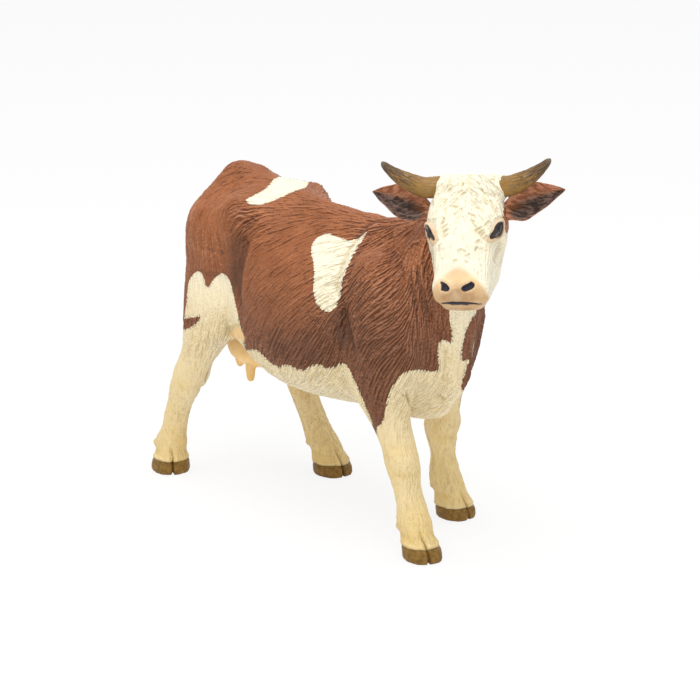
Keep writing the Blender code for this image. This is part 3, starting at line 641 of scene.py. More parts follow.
def face(height, width, *places, sides=(1.0, -1.0), whole=False):
    """Presses a path of places into the head, on each side that is asked for. It leans as the nearest point
    does."""
    for side in sides:
        path = poll + (np.array(places) * (1.0, side, 1.0) * mm) @ head_axes.T
        nearest = np.argmin(((head["points"] - path.mean(axis=0)) ** 2).sum(axis=1))
        press(head, "relief", height * mm, width * mm, path, head["normals"][nearest], whole)


# Forms of the skull: eye sockets' rims, temples, nose bridge, cheeks, and the hollow in front of them
face(0.45, 2.4, (12.0, 7.0, -0.3))
face(-0.35, 2.0, (6.5, 6.6, -0.4))
face(0.30, 2.6, (17.0, 0.0, 0.9), (22.0, 0.0, 0.4), (26.0, 0.0, -0.1), sides=(1.0,))
face(-0.45, 2.2, (19.5, 4.8, -0.2), (23.5, 4.6, -0.8))
face(-0.5, 2.8, (17.0, 9.2, -5.0), (20.0, 8.6, -5.5), (24.0, 7.8, -6.2), whole=True)
face(0.30, 3.6, (13.0, 9.2, -9.5), sides=(-1.0,))
face(-1.0, 3.8, (13.5, 9.8, -8.0), (17.5, 9.5, -8.5), (21.0, 8.8, -9.0), sides=(1.0,))
face(0.5, 2.6, (10.5, 9.8, -3.5), (15.0, 9.6, -4.0), sides=(-1.0,))
face(-0.6, 3.0, (14.5, 9.8, -5.5), (17.5, 9.5, -6.0), (20.0, 9.0, -6.0), sides=(1.0,))
face(0.25, 3.0, (22.0, 7.8, -10.0))
face(0.40, 2.0, (28.5, 6.2, -2.6))
settle(head, 3)

# Eyes, on the pixels of the photo: the dark of each one, the bare skin of its lids, and the pupil's middle
# and radii
eye_shapes = (((426.2, 224.6), (428.8, 225.8), (431.4, 230.2), (433.2, 234.5), (435.6, 239.5), (436.0, 243.0),
               (433.4, 240.4), (431.6, 238.2), (429.8, 239.4), (427.4, 237.6), (426.0, 233.0),
               (425.4, 228.5)),
              ((495.0, 226.0), (498.0, 222.4), (502.7, 221.5), (504.6, 224.5), (504.4, 230.2), (502.8, 234.6),
               (499.0, 236.9), (495.0, 237.9), (491.0, 239.4), (489.2, 237.6), (490.3, 234.6),
               (493.3, 231.0)))
lid_shapes = (((422.0, 222.5), (427.0, 221.0), (433.0, 222.0), (435.5, 228.0), (437.3, 234.0),
               (439.3, 240.5), (438.6, 245.2),
               (434.5, 246.4), (430.0, 243.4), (426.0, 240.6), (421.0, 235.0)),
              ((491.5, 228.0), (495.5, 221.0), (499.5, 218.0), (505.5, 218.0), (508.0, 224.0),
               (507.5, 232.0), (505.0, 237.0),
               (499.5, 240.4), (494.0, 241.4), (487.6, 243.0), (485.2, 241.6), (488.0, 236.0)))
pupils = ((429.5, 231.6, 1.3, 2.6), (499.3, 228.9, 2.1, 2.8))
sight = head["pixels"][:, :2]
turned_away = head["facing"] < 0.02
eye_edge = np.max([inside(sight, shape, 9.0) for shape in eye_shapes], axis=0)
lid_edge = np.max([inside(sight, shape, 9.0) for shape in lid_shapes], axis=0)
eye_edge = np.where(turned_away, -9.0, eye_edge) * px_length / mm
lid_edge = np.where(turned_away, -9.0, lid_edge) * px_length / mm
apart = np.min([np.linalg.norm((head["points"] - poll) @ head_axes / mm - (14.0, 8.4 * side, -1.2), axis=1)
                for side in (1.0, -1.0)], axis=0)
eye_edge, lid_edge = np.minimum(eye_edge, 3.3 - apart), np.minimum(lid_edge, 4.3 - apart)
upper = ramp(-sight[:, 1], -232.0, -226.0)
head["iris"] = 1.0 - np.max([ramp(-np.hypot((sight[:, 0] - x) / wide, (sight[:, 1] - y) / high), -1.15, -0.85)
                             for x, y, wide, high in pupils], axis=0)
head["relief"] += mm * (0.16 * ramp(lid_edge, -0.3, 0.3) + 0.16 * np.exp(-((eye_edge + 0.35) / 0.28) ** 2)
                        - 0.50 * ramp(eye_edge, -0.10, 0.16) + 0.50 * ramp(eye_edge, 0.10, 1.20)
                        - 0.16 * upper * np.exp(-((lid_edge + 0.1) / 0.28) ** 2))
settle(head)
head["lid"] = ramp(lid_edge, -0.12, 0.16) * (1.0 - 0.35 * upper)
head["rim_line"] = np.exp(-((eye_edge + 0.02) / 0.10) ** 2) + 0.30 * np.exp(-(lid_edge / 0.13) ** 2)
head["eye"] = eye_edge

# Nostrils and mouth, on the pixels of the photo
nostril_outlines = (((440, 281.5), (442.5, 281.5), (447, 284), (450, 288), (449, 291), (445, 292),
                     (440.5, 290.5),
                     (441.5, 286.5)),
                    ((471.5, 281), (474.7, 283.5), (474.8, 287), (471, 290), (464, 292.2), (461.2, 290),
                     (461, 287.5),
                     (464, 285), (469, 283)))
nostril_edge = np.max([inside(head["pixels"][:, :2], outline, 12.0) for outline in nostril_outlines], axis=0)
nostril_edge = np.where(head["facing"] > 0.1, nostril_edge, -12.0) * px_length
head["relief"] += 0.22 * mm * bell(nostril_edge / mm, -0.55, 0.5)
head["relief"] -= 0.9 * mm * ramp(nostril_edge, -0.00005, 0.0008)
mouth_pixels = ((435, 306.6), (439, 306.0), (445, 305.2), (452, 304.5), (460, 304.6), (468, 304.9),
                (475, 305.6),
                (481, 306.8), (484, 308))
head["dark"] = np.zeros(len(head["points"]))
stroke(head, 0.28, 1, (437, 299), (448, 299.5), (462, 299), (476, 299.3), (486, 298.5), both=False)
stroke(head, -0.7, 0.34, *mouth_pixels, both=False)
stroke(head, 1.5, 0.32, *mouth_pixels, both=False, layer="dark")
stroke(head, 0.6, 0.5, (447, 306.0), (460, 305.8), (472, 306.4), both=False, layer="dark")
stroke(head, 0.2, 0.7, (446, 307), (462, 308.2), (476, 307), both=False)
face(-0.8, 1.2, (33.4, 6.2, -7.0), (30.0, 7.4, -9.0))
face(-0.55, 1.1, (34.4, 4.6, -6.8))
face(-0.7, 1.5, (33.4, 6.6, -6.2))
face(0.35, 0.8, (31.6, 5.6, -3.6))
face(-0.35, 0.4, (31.6, 6.2, -5.2), (29.4, 7.2, -6.6), (26.5, 7.3, -7.8))
settle(head)
head["dark"] = np.maximum(head["dark"], ramp(nostril_edge, -0.00008, 0.00008))
place_mm = (head["points"] - poll) @ head_axes / mm
muzzle_start = 25.0 + 0.22 * np.abs(place_mm[:, 1] + 0.6) ** 1.6
head["muzzle"] = ramp(place_mm[:, 0] - muzzle_start, -1.6, 1.8) * ramp(place_mm[:, 2], -10.0, -8.0)
head["stain"] = np.zeros(len(head["points"]))
for start, end in (
        ((445, 187.5), (450, 183)), ((448, 190), (452.5, 185)), ((457, 192.5), (462, 189)),
        ((459, 195), (465, 191)),
        ((465, 191.5), (468, 187)), ((469.5, 192), (473, 196)), ((479, 186), (484, 190.5)),
        ((480.5, 189), (485, 193)),
        ((485, 191), (489.5, 195)), ((488.5, 193.5), (497, 196.5)), ((489, 177.5), (495, 179)),
        ((475, 180), (479, 184.5)),
        ((465, 181), (461, 185.5)), ((453, 186.5), (457.5, 182.5)), ((449, 204.5), (456.5, 206.3)),
        ((458, 208.8), (462, 208)),
        ((474, 205.3), (480, 208)), ((456.5, 211), (453, 214)), ((467, 212), (475, 215.5)),
        ((439, 224), (445.5, 219.5)),
        ((440, 228.5), (447, 223.5)), ((441, 232.5), (448, 228)), ((442.5, 237), (447.5, 233)),
        ((440, 215), (444, 219)),
        ((471, 222.5), (476, 226.5)), ((469, 219), (474, 221.5)), ((474, 230), (482, 225.5)),
        ((477, 233), (485, 228.5)),
        ((483, 226), (490, 219)), ((484, 239), (488, 234)), ((480, 236), (485, 231)),
        ((456, 250.5), (461, 248.5)),
        ((461, 248.5), (466, 251)), ((465, 255), (471, 253)), ((451, 260.5), (457, 258.5)),
        ((463, 259), (469, 261.5)),
        ((475, 250.5), (479, 247.5)), ((452, 266.5), (451, 267.5)), ((430, 218), (436, 219.5)),
        ((446, 198), (443, 202)),
        ((490, 199), (494, 203)), ((483, 200), (488, 204)), ((436, 247), (441, 244)),
        ((476, 242), (481, 239))):
    stroke(head, -0.12, 0.22, start, end, both=False)
    stroke(head, 0.85, 0.2, start, end, both=False, layer="stain")
stroke(head, 0.35, 1.1, (487, 244), (491, 243.5), (496, 242), both=False, layer="stain")
stroke(head, 0.3, 1, (440, 226), (444, 234), both=False, layer="stain")
stroke(head, 0.35, 1, (475, 228), (483, 232), both=False, layer="stain")
head["shade"] = np.zeros(len(head["points"]))
stroke(head, 0.9, 1.5, (457, 289), (457.5, 297), both=False, layer="shade")
stroke(head, 0.7, 1.1, (440, 299), (456, 299.5), (476, 299), both=False, layer="shade")
stroke(head, 0.5, 1.2, (446, 310), (462, 311), (474, 309.5), both=False, layer="shade")
stroke(head, 0.25, 2, (446, 276), (452, 268), (462, 267), (470, 275), both=False, layer="shade")

head["shade"] += 0.55 * ramp(place_mm[:, 0], 27.5, 32.0) + 0.15

# Fine hair, parted along the middle of the face; none on the muzzle and lids
outward = np.clip(place_mm[:, 1:2] * 0.16, -0.9, 0.9) * ramp(place_mm[:, 0:1], 30.0, 5.0)
tufted = ramp(place_mm[:, 0], 17.0, 7.0)
outward += 2.6 * tufted[:, None] * value_noise(head["points"], 0.0024, 24)[:, None]
face_lie = lying(head["points"], head["normals"],
                 head_down + outward * head_left - 0.3 * np.abs(outward) * head_out,
                 head["net"], 3)
face_strand = (0.7 + 0.7 * tufted) * combed(head["points"], face_lie, head["net"], 0.00032, 0.00018, 5, 21)
bare = np.maximum.reduce((head["muzzle"], ramp(lid_edge, -0.1, 0.1), ramp(head["dark"], 0.0, 0.3)))
head["relief"] += 0.000036 * np.clip(face_strand, -2.2, 2.2) * (1.0 - bare)
head["relief"] += 0.00002 * head["muzzle"] * value_noise(head["points"], 0.0005, 22)
settle(head, 0)
ear_root = np.minimum(*(np.linalg.norm(place_mm - (8.6, 9.4 * side, -6.2), axis=1) for side in (1.0, -1.0)))
head["coat"] = np.minimum(head["coat"], (ear_root - 3.6) * mm)
# The face's hair takes painted highlight and shade the same way.
head["strand"] = (0.65 * face_strand + light_lean(head["points"], head["faces"], head["net"])) * (1.0 - bare)
head["strand"][head["rim"]] = 0.0

# Legs are plain cream mouldings with carved knees, hocks and tendons, cloven hooves and short hair combed
# downwards. Each is worked round its own centre line: turn is the angle round it from the front, and level
# the height above the floor in millimetres.


def span(level, low, high, soft=1.0):
    """1 between two levels of a leg, fading beyond them."""
    return ramp(level, low - soft, low + soft) * ramp(-level, -high - soft, -high + soft)


leg_forms = (("leg_front_right", 3.9, -24.0), ("leg_front_left", 3.5, 0.0), ("leg_hind_right", 4.0, -32.0),
             ("leg_hind_left", 3.6, -6.0))
for word, hoof_level, toe_turn in leg_forms:
    leg = part_of[word]
    level = leg["points"][:, 2] / mm
    slot_of = np.clip(level / 1.5, 0, 23).astype(int)
    held = np.bincount(slot_of, minlength=24)
    centre_line = [np.bincount(slot_of, leg["points"][:, axis],
                               24)[held > 0] / held[held > 0] for axis in (0, 1)]
    heights = (np.flatnonzero(held > 0) + 0.5) * 1.5
    ahead = (leg["points"][:, 0] - np.interp(level, heights, centre_line[0])) / mm
    aside = (leg["points"][:, 1] - np.interp(level, heights, centre_line[1])) / mm
    toe = (math.cos(math.radians(toe_turn)), math.sin(math.radians(toe_turn)))
    ahead, aside = ahead * toe[0] + aside * toe[1], aside * toe[0] - ahead * toe[1]
    turn = np.degrees(np.arctan2(np.abs(aside), ahead))
    front = ramp(-turn, -80.0, -50.0)
    if "front" in word:
        knee, fetlock = 25.5, 9.5
        carving = (0.42 * bell(level, knee + 0.8, 1.9) * ramp(-turn, -75.0, -20.0)
                   - 0.26 * bell(level, knee - 3.2, 1.2) * ramp(-turn, -80.0, -40.0)
                   - 0.22 * bell(level, knee + 4.2, 1.3) * ramp(-turn, -80.0, -40.0)
                   - 0.20 * bell(turn, 75.0, 14.0) * span(level, knee - 2.0, knee + 3.0)
                   + 0.30 * bell(turn, 150.0, 22.0) * bell(level, knee - 0.5, 1.8)
                   - 0.34 * bell(turn, 112.0, 13.0) * span(level, 12.0, 22.0, 2.0)
                   + 0.26 * bell(turn, 160.0, 22.0) * span(level, 12.0, 22.0, 2.0)
                   + 0.16 * bell(turn, 45.0, 16.0) * span(level, 12.0, 22.0, 2.0))
    else:
        knee, fetlock = 29.0, 9.5
        carving = (0.50 * bell(turn, 180.0, 26.0) * bell(level, knee + 1.5, 2.4)
                   - 0.42 * bell(turn, 118.0, 15.0) * span(level, knee - 0.5, knee + 6.0, 1.5)
                   + 0.28 * bell(turn, 75.0, 20.0) * bell(level, knee - 3.5, 2.4)
                   - 0.28 * bell(turn, 30.0, 30.0) * bell(level, knee - 0.5, 1.6)
                   - 0.34 * bell(turn, 112.0, 13.0) * span(level, 12.0, 23.0, 2.0)
                   + 0.28 * bell(turn, 160.0, 22.0) * span(level, 12.0, 24.0, 2.0)
                   + 0.16 * bell(turn, 45.0, 16.0) * span(level, 12.0, 23.0, 2.0))
    carving += (0.22 * bell(level, fetlock, 1.6) * ramp(turn, 30.0, 70.0)
                - 0.26 * bell(level, fetlock - 3.1, 1.0) * ramp(turn, 25.0, 60.0)
                - 0.95 * front * bell(aside, 0.0, 0.30) * span(level, -2.0, hoof_level + 0.6, 0.8)
                + 0.22 * bell(turn, 34.0, 16.0) * span(level, -2.0, hoof_level, 1.0)
                - 0.40 * front * bell(aside, 0.0, 0.55) * span(level, hoof_level, hoof_level + 4.2, 1.2)
                + 0.20 * front * bell(abs(aside), 1.25, 0.7) * span(level, hoof_level, hoof_level + 4.0, 1.2)
                - 0.30 * ramp(turn, 120.0, 150.0) * bell(aside, 0.0, 0.5) * span(level, -2.0, 3.0, 1.0))
    edge = hoof_level + 0.30 * value_noise(leg["points"], 0.0012, 71) - 0.5 * ramp(turn, 90.0, 170.0) - level
    carving += 0.16 * bell(edge, -0.45, 0.38) - 0.16 * bell(edge, 0.35, 0.35) + 0.10 * ramp(edge, 1.6, 3.4)
    carving *= ramp(level, leg["points"][:, 2].max() / mm - 0.6, leg["points"][:, 2].max() / mm - 3.6)
    leg["relief"] += carving * mm
    settle(leg)
    leg["hoof"] = edge * mm
    leg_lie = lying(leg["points"], leg["normals"],
                    np.array((0.10, 0.0, -1.0)) + 0.22 * np.sin(level / 2.6)[:, None]
                    * np.cross(leg["normals"], (0.0, 0.0, 1.0)), leg["net"], 3)
    haired = ramp(-edge, 0.0, 0.5)
    fade = ramp(level, 27.0, 31.0)
    fine = combed(leg["points"], leg_lie, leg["net"], 0.00030, 0.00019, 6, 72)
    growth = np.sin(level * 9.0 + 2.0 * value_noise(leg["points"], 0.002, 73))
    leg["relief"] += 0.000055 * np.clip(fine, -2.2, 2.2) * haired * (1.0 - fade)
    leg["relief"] += 0.00003 * (1.0 - haired) * growth
    settle(leg, 0)
    # The soles stand flat on the floor: the height h becomes (h + sqrt(h² + 0.2²)) / 2 in millimetres,
    # never below 0.
    height = leg["points"][:, 2]
    leg["points"][:, 2] = 0.5 * (height + np.hypot(height, 0.2 * mm))
    fade = ramp(level, 27.0, 32.0)
    leg["crease"] = front * bell(aside, 0.0, 0.20) * span(level, -2.0, hoof_level + 3.0, 1.5)
    leg["crease"] += 0.8 * bell(edge, 0.0, 0.16)
    # The leg's hair takes painted highlight and shade the same way.
    fine = np.where(leg["rim"], 0.0, 0.3 * fine + 0.8 * light_lean(leg["points"], leg["faces"], leg["net"]))
    leg["strand"] = leg["strand"] * fade + fine * haired * (1.0 - fade)
    # Painted shade: the leg's carved hollows are darkened and tinted more tan.
    leg["hollow"] = leg["hollow"] * fade + (1.0 - fade) * 0.10 * np.clip(-carving * 2.5, 0.0, 1.0)
    leg["tan"] += 0.3 * np.clip(-carving, 0.0, 0.5)

# Paint on the skin: matt cream and brown with hair-fine edges, brushed on by hand. It carries painted shade
# in the grooves and hollows and lower on the brown, and painted highlights on the strands' upper sides;
# eyes, muzzle, stains and hooves are painted over it.


class Paint:
    """A material with a Principled shader, and short ways to add its nodes."""

    def __init__(self, material, roughness, specular=0.3):
        material.use_nodes = True
        self.nodes, self.links = material.node_tree.nodes, material.node_tree.links
        self.shader = self.nodes["Principled BSDF"]
        self.shader.inputs["Roughness"].default_value = roughness
        self.shader.inputs["Specular IOR Level"].default_value = specular
        self.place = self.add("TexCoord").outputs["Object"]

    def join(self, value, socket):
        if isinstance(value, bpy.types.NodeSocket):
            self.links.new(value, socket)
        elif isinstance(value, tuple) and len(value) == 3:
            socket.default_value = (*value, 1.0)
        else:
            socket.default_value = value

    def add(self, kind, *values, **settings):
        """Adds a node: settings are its properties, values go to its first inputs in order."""
        made = self.nodes.new("ShaderNode" + kind)
        for key, value in settings.items():
            setattr(made, key, value)
        for socket, value in zip(made.inputs, values):
            self.join(value, socket)
        return made

    def layer(self, name):
        """A layer of numbers that the mesh carries."""
        return self.add("Attribute", attribute_name=name).outputs["Fac"]

    def noise(self, scale, detail=3.0, roughness=0.55):
        made = self.add("TexNoise")
        for name, value in (("Vector", self.place), ("Scale", scale), ("Detail", detail),
                            ("Roughness", roughness)):
            self.join(value, made.inputs[name])
        return made.outputs["Fac"]

    def ramp(self, value, low, high, to_low=0.0, to_high=1.0):
        """Smooth step of a value from its low to its high end."""
        return self.add("MapRange", value, low, high, to_low, to_high,
                        interpolation_type="SMOOTHSTEP").outputs[0]

    def times(self, value, share):
        return self.add("Math", value, share, operation="MULTIPLY").outputs[0]

    def plus(self, base, value, share):
        """base + value · share."""
        return self.add("Math", value, share, base, operation="MULTIPLY_ADD").outputs[0]

    def mix(self, amount, first, second):
        """First colour, turning to the second as the amount goes from 0 to 1."""
        made = self.add("Mix", data_type="RGBA")
        for place, value in ((0, amount), (6, first), (7, second)):
            self.join(value, made.inputs[place])
        return made.outputs[2]

    def wash(self, colour, amount, strength, tint):
        """A colour under a wash of a tint, where a layer or value is high."""
        amount = self.layer(amount) if isinstance(amount, str) else amount
        return self.mix(self.times(amount, strength), colour, tint)

    def mottled(self, noise, first, second):
        """Two colours in soft patches of a noise."""
        return self.mix(self.ramp(noise, 0.35, 0.65), first, second)

    def finish(self, colour, height, depth, strength, roughness=None):
        """Gives the shader its colour and its bumps, a height times a depth, and a roughness that varies."""
        bump = self.add("Bump")
        for name, value in (("Strength", strength), ("Distance", depth), ("Height", height)):
            self.join(value, bump.inputs[name])
        self.join(colour, self.shader.inputs["Base Color"])
        self.join(bump.outputs[0], self.shader.inputs["Normal"])
        if roughness is not None:
            self.join(roughness, self.shader.inputs["Roughness"])


skin_paint = bpy.data.materials.new("painted_skin")
paint = Paint(skin_paint, 0.52)
strand_value, coat_value, hollow_value = (paint.layer(name) for name in ("strand", "coat", "hollow"))
grain, cloud = paint.noise(2600.0, 3.0, 0.6), paint.noise(150.0)
patchy = paint.plus(-0.5, cloud, 1.0)
jagged = paint.plus(coat_value, strand_value, 0.00009)
jagged = paint.plus(jagged, paint.plus(-0.5, grain, 1.0), 0.0002)
cream_share = paint.ramp(jagged, -0.00004, 0.00004)
# Painted highlight on the strands' crests and lit sides, painted shade in their grooves.
ridge_highlight, groove = paint.ramp(strand_value, 0.0, 1.5), paint.ramp(strand_value, -0.1, -1.5)
brown = paint.mottled(cloud, (0.275, 0.088, 0.027), (0.340, 0.114, 0.038))
# Painted shade over the brown: in the hollows, in the strands' grooves and from the painted shade layer;
# painted highlight on the crests.
brown = paint.wash(brown, paint.ramp(hollow_value, 0.01, 0.10), 0.65, (0.105, 0.036, 0.018))
brown = paint.wash(brown, groove, 0.72, (0.085, 0.026, 0.012))
brown = paint.wash(brown, ridge_highlight, 0.58, (0.58, 0.265, 0.145))
brown = paint.wash(brown, "soot", 0.8, (0.105, 0.043, 0.021))
cream = paint.mottled(cloud, (0.885, 0.815, 0.63), (0.915, 0.855, 0.67))
tan = paint.layer("tan")
tan = paint.plus(tan, paint.times(patchy, tan), 0.6)
cream = paint.mix(tan, cream, (0.75, 0.540, 0.205))
# Painted shade on the cream too: in the strands' grooves and in the hollows.
cream = paint.wash(cream, groove, 0.34, (0.60, 0.42, 0.15))
cream = paint.wash(cream, paint.ramp(hollow_value, 0.02, 0.14), 0.5, (0.50, 0.37, 0.15))
fringe = paint.times(paint.ramp(coat_value, 0.0007, 0.0001), paint.ramp(strand_value, 0.5, -0.9))
cream = paint.wash(cream, fringe, 0.65, (0.15, 0.14, 0.15))
colour = paint.mix(cream_share, brown, cream)
colour = paint.wash(colour, "stain", 0.70, (0.50, 0.39, 0.15))
peach = paint.mix(paint.layer("shade"), (0.90, 0.640, 0.350), (0.45, 0.255, 0.110))
colour = paint.wash(colour, paint.ramp(paint.layer("fold"), 0.15, 0.75), 0.85, (0.90, 0.600, 0.270))
peach = paint.wash(peach, paint.ramp(grain, 0.5, 0.7), 0.25, (0.90, 0.68, 0.42))
muzzle = paint.layer("muzzle")
muzzle = paint.plus(muzzle, paint.times(patchy, muzzle), 1.6)
colour = paint.mix(paint.ramp(muzzle, 0.05, 1.1), colour, peach)
colour = paint.wash(colour, "lid", 0.95, (0.76, 0.52, 0.300))
colour = paint.wash(colour, "rim_line", 0.8, (0.10, 0.055, 0.035))
hoof = paint.mottled(paint.noise(900.0, 4.0, 0.65), (0.155, 0.079, 0.010), (0.265, 0.143, 0.023))
hoof_share = paint.ramp(paint.layer("hoof"), -0.00005, 0.00005)
colour = paint.mix(hoof_share, colour, hoof)
colour = paint.wash(colour, "crease", 0.75, (0.075, 0.042, 0.015))
colour = paint.mix(paint.ramp(paint.layer("dark"), 0.35, 0.75), colour, (0.042, 0.037, 0.048))
eye_share = paint.ramp(paint.layer("eye"), -0.03, 0.05)
iris = paint.mix(paint.ramp(paint.layer("iris"), 0.2, 0.8), (0.006, 0.005, 0.006), (0.040, 0.033, 0.032))
colour = paint.mix(eye_share, colour, iris)
height = paint.plus(strand_value, paint.plus(-0.5, grain, 1.0), 0.5)
gloss = paint.mix(eye_share, (0.47, 0.47, 0.47), (0.20, 0.20, 0.20))
paint.finish(colour, height, 0.00009, 0.7, gloss)

# Every part of the skin becomes a piece over its own moulding. A layer that a part lacks is far below its
# edge there.
for word, part in part_of.items():
    for key, away in (("hoof", -0.01), ("eye", -3.0), ("crease", 0.0)):
        part.setdefault(key, np.full(len(part["points"]), away))
    if word in ("head", "neck"):
        put_skin(word, part, skin_paint, "cream", "head_and_neck")
    elif word.startswith("leg"):
        put_skin(word, part, skin_paint, "cream", word)
    else:
        put_skin("torso_" + word, part, skin_paint, "body_brown", "torso")

# Horns: solid tapered mouldings pushed into the hair at the poll. Each leaves sideways and sweeps forwards
# and up. Their golden base is brushed over with brown streaks that close up towards the tip.
horn_length, horn_radius = 0.0165, 0.00275
horn_root = np.array((0.00165, 0.0052, -0.00154))
horn_stations = np.array((  # outwards, down the face, out of the forehead, radius, in shares
    (-0.05, 0.00, 0.00, 0.98), (0.13, 0.00, 0.00, 1.02), (0.33, 0.02, 0.04, 0.96), (0.50, -0.02, 0.09, 0.86),
    (0.69, -0.085, 0.17, 0.69), (0.86, -0.18, 0.25, 0.46), (0.99, -0.29, 0.31, 0.24)))
horn_rings, horn_around = 150, 72


def curve_through(stations, count):
    """A smooth run through stations, each a row of numbers: Catmull-Rom cubics, 0.5 (2b + (c - a) t + (2a -
    5b + 4c - d) t² + (3b - a - 3c + d) t³), with the end rows carried on in line."""
    padded = np.concatenate((2 * stations[:1] - stations[1:2], stations, 2 * stations[-1:] - stations[-2:-1]))
    at = np.linspace(0.0, len(stations) - 1.0, count)
    k = np.minimum(at.astype(int), len(stations) - 2)
    t = (at - k)[:, None]
    a, b, c, d = (padded[k + step] for step in range(4))
    square, cube = 2 * a - 5 * b + 4 * c - d, 3 * b - a - 3 * c + d
    return 0.5 * (2 * b + (c - a) * t + square * t ** 2 + cube * t ** 3)


def strands(place, size, shifts, seeds, second):
    """Combed strands over a grid of places: noise of one size and a share of a second one half as wide,
    scaled to a spread of one."""
    flat = place.reshape(-1, 3)
    total = value_noise(flat + shifts[0], size,
                        seeds[0]) + second * value_noise(flat + shifts[1], size / 2, seeds[1])
    return (total / total.std()).reshape(place.shape[:2])


def on_tube(*values):
    """Values that run along a tube, as columns, and round it, as rows, as places on its grid."""
    return np.stack(np.broadcast_arrays(*values), axis=-1)


def blunt(share, start):
    """1 along a tube, and a quarter of an ellipse down to 0 from the start share to its end."""
    return np.sqrt(np.clip(1.0 - ((share - start) / (1.0 - start)).clip(0.0, 1.0) ** 2, 0.0, 1.0))


def tube_surface(path, radii, angle, up):
    """Rings square to a path: centre + radius (cos a · side + sin a · over), where over is the up direction
    freed of its part along the path."""
    along = np.gradient(path, axis=0)
    along /= np.linalg.norm(along, axis=1, keepdims=True)
    over = up - along * (along @ up)[:, None]
    over /= np.linalg.norm(over, axis=1, keepdims=True)
    side = np.cross(over, along)
    out = np.cos(angle)[:, :, None] * side[:, None] + np.sin(angle)[:, :, None] * over[:, None]
    return path[:, None] + radii[:, :, None] * out


def put_shape(word, points, faces, material, layers, slot, *nodes):
    """Makes a piece of points and faces, with the faces turned outwards."""
    mesh = bpy.data.meshes.new(word)
    mesh.from_pydata(points.tolist(), [], faces)
    work = bmesh.new()
    work.from_mesh(mesh)
    bmesh.ops.recalc_face_normals(work, faces=work.faces)
    work.to_mesh(mesh)
    work.free()
    place_piece(word, mesh, material, layers, slot, *nodes)


def put_tube(word, surface, ends, material, layers, slot):
    """Closes rings of points with a pole at each end. Each layer has its values on the rings, and that of
    the last pole; the first pole, inside the socket, has 0."""
    rings, around = surface.shape[:2]
    row, column = np.meshgrid(np.arange(rings - 1), np.arange(around), indexing="ij")
    here, there = (row * around + column).ravel(), (row * around + (column + 1) % around).ravel()
    faces = np.stack((here, there, there + around, here + around), axis=1).tolist()
    ring, last = range(around), (rings - 1) * around
    faces += [(rings * around, (k + 1) % around, k) for k in ring]
    faces += [(rings * around + 1, last + k, last + (k + 1) % around) for k in ring]
    layers = {key: np.append(np.broadcast_to(values, (rings, around)), (0.0, at_end))
              for key, (values, at_end) in layers.items()}
    put_shape(word, np.concatenate((surface.reshape(-1, 3), ends)), faces, material, layers, slot, word)


horn_vinyl = bpy.data.materials.new("horn_paint")
share = np.linspace(0.0, 1.0, horn_rings)[:, None]
angle = np.linspace(0.0, math.tau, horn_around, endpoint=False)[None]
line = curve_through(horn_stations, horn_rings)
fibre = strands(on_tube(np.cos(angle) * 2.2, np.sin(angle) * 2.2, share * 3.0), 0.24, (7.0, 3.0), (31, 32),
                0.7)
growth = np.sin(share * 95.0 + 1.2 * np.sin(share * 31.0)) * ramp(-share, -0.55, -0.15)
radius = horn_radius * line[:, 3:4] * np.maximum(blunt(share, 0.93), 0.02)
radii = radius * (1.0 + 0.022 * np.clip(fibre, -2, 2) * ramp(share, 0.25, 0.6)) + 0.00002 * growth
for side, word in ((1.0, "horn_left"), (-1.0, "horn_right")):
    run = horn_length * np.stack((line[:, 1], line[:, 0] * side, line[:, 2]), axis=1)
    path = poll + (horn_root * (1.0, side, 1.0) + run) @ head_axes.T
    ends = (path[0], path[-1] + 0.02 * radius[0] * (path[-1] - path[-2]))
    put_tube(word, tube_surface(path, radii, angle, head_out), ends, horn_vinyl,
             {"fibre": (fibre, 0.0), "reach": (share, 1.0), "under": (-np.sin(angle), 0.0)}, "horn_tan")

paint = Paint(horn_vinyl, 0.42)
reach, fibre = paint.layer("reach"), paint.layer("fibre")
under = paint.ramp(paint.layer("under"), -0.9, 0.9)
horn = paint.mottled(paint.noise(420.0, 4.0), (0.255, 0.135, 0.030), (0.315, 0.172, 0.042))
# Painted shade on the underside of each horn.
horn = paint.wash(horn, under, 0.45, (0.150, 0.085, 0.028))
run = paint.plus(paint.times(under, -0.8), reach, 3.2)
streak = paint.ramp(paint.plus(run, fibre, 0.50), 1.35, 2.6)
horn = paint.wash(horn, streak, 0.88, (0.060, 0.036, 0.024))
horn = paint.mix(paint.times(paint.ramp(fibre, 0.9, 1.9), paint.ramp(reach, 0.2, 0.6, 0.12, 0.45)), horn,
                 (0.52, 0.37, 0.19))
horn = paint.wash(horn, paint.ramp(reach, 0.90, 0.99), 0.4, (0.30, 0.25, 0.20))
paint.finish(horn, paint.plus(fibre, paint.noise(1500.0, 4.0), 0.8), 0.00006, 0.6)

# Ears: thin cupped leaves, glued in behind the brow. The back and the rolled rim are brown like the neck,
# the hollow is dark with combed hair.
ear_length, ear_width, ear_rise = 0.017, 0.0095, 0.38
ear_root = np.array((0.0070, 0.00845, -0.00518))
ear_stations = np.array((  # reach outwards, sag down the face, half-width, half-thickness, cup, in shares
    (-0.12, 0.02, 0.19, 0.19, 0.00), (0.10, 0.025, 0.24, 0.17, 0.05), (0.32, 0.01, 0.42, 0.12, 0.17),
    (0.55, -0.005, 0.44, 0.085, 0.21), (0.76, 0.005, 0.28, 0.07, 0.13), (0.93, 0.00, 0.10, 0.05, 0.04),
    (1.00, 0.00, 0.02, 0.02, 0.00)))
ear_rings, ear_around = 130, 120
ear_vinyl = bpy.data.materials.new("ear_paint")
line = curve_through(ear_stations, ear_rings)
reach, sag, half_width, half_thick, cup = (line[:, k:k + 1] for k in range(5))
share = np.linspace(0.0, 1.0, ear_rings)[:, None]
angle = np.linspace(0.0, math.tau, ear_around, endpoint=False)[None]
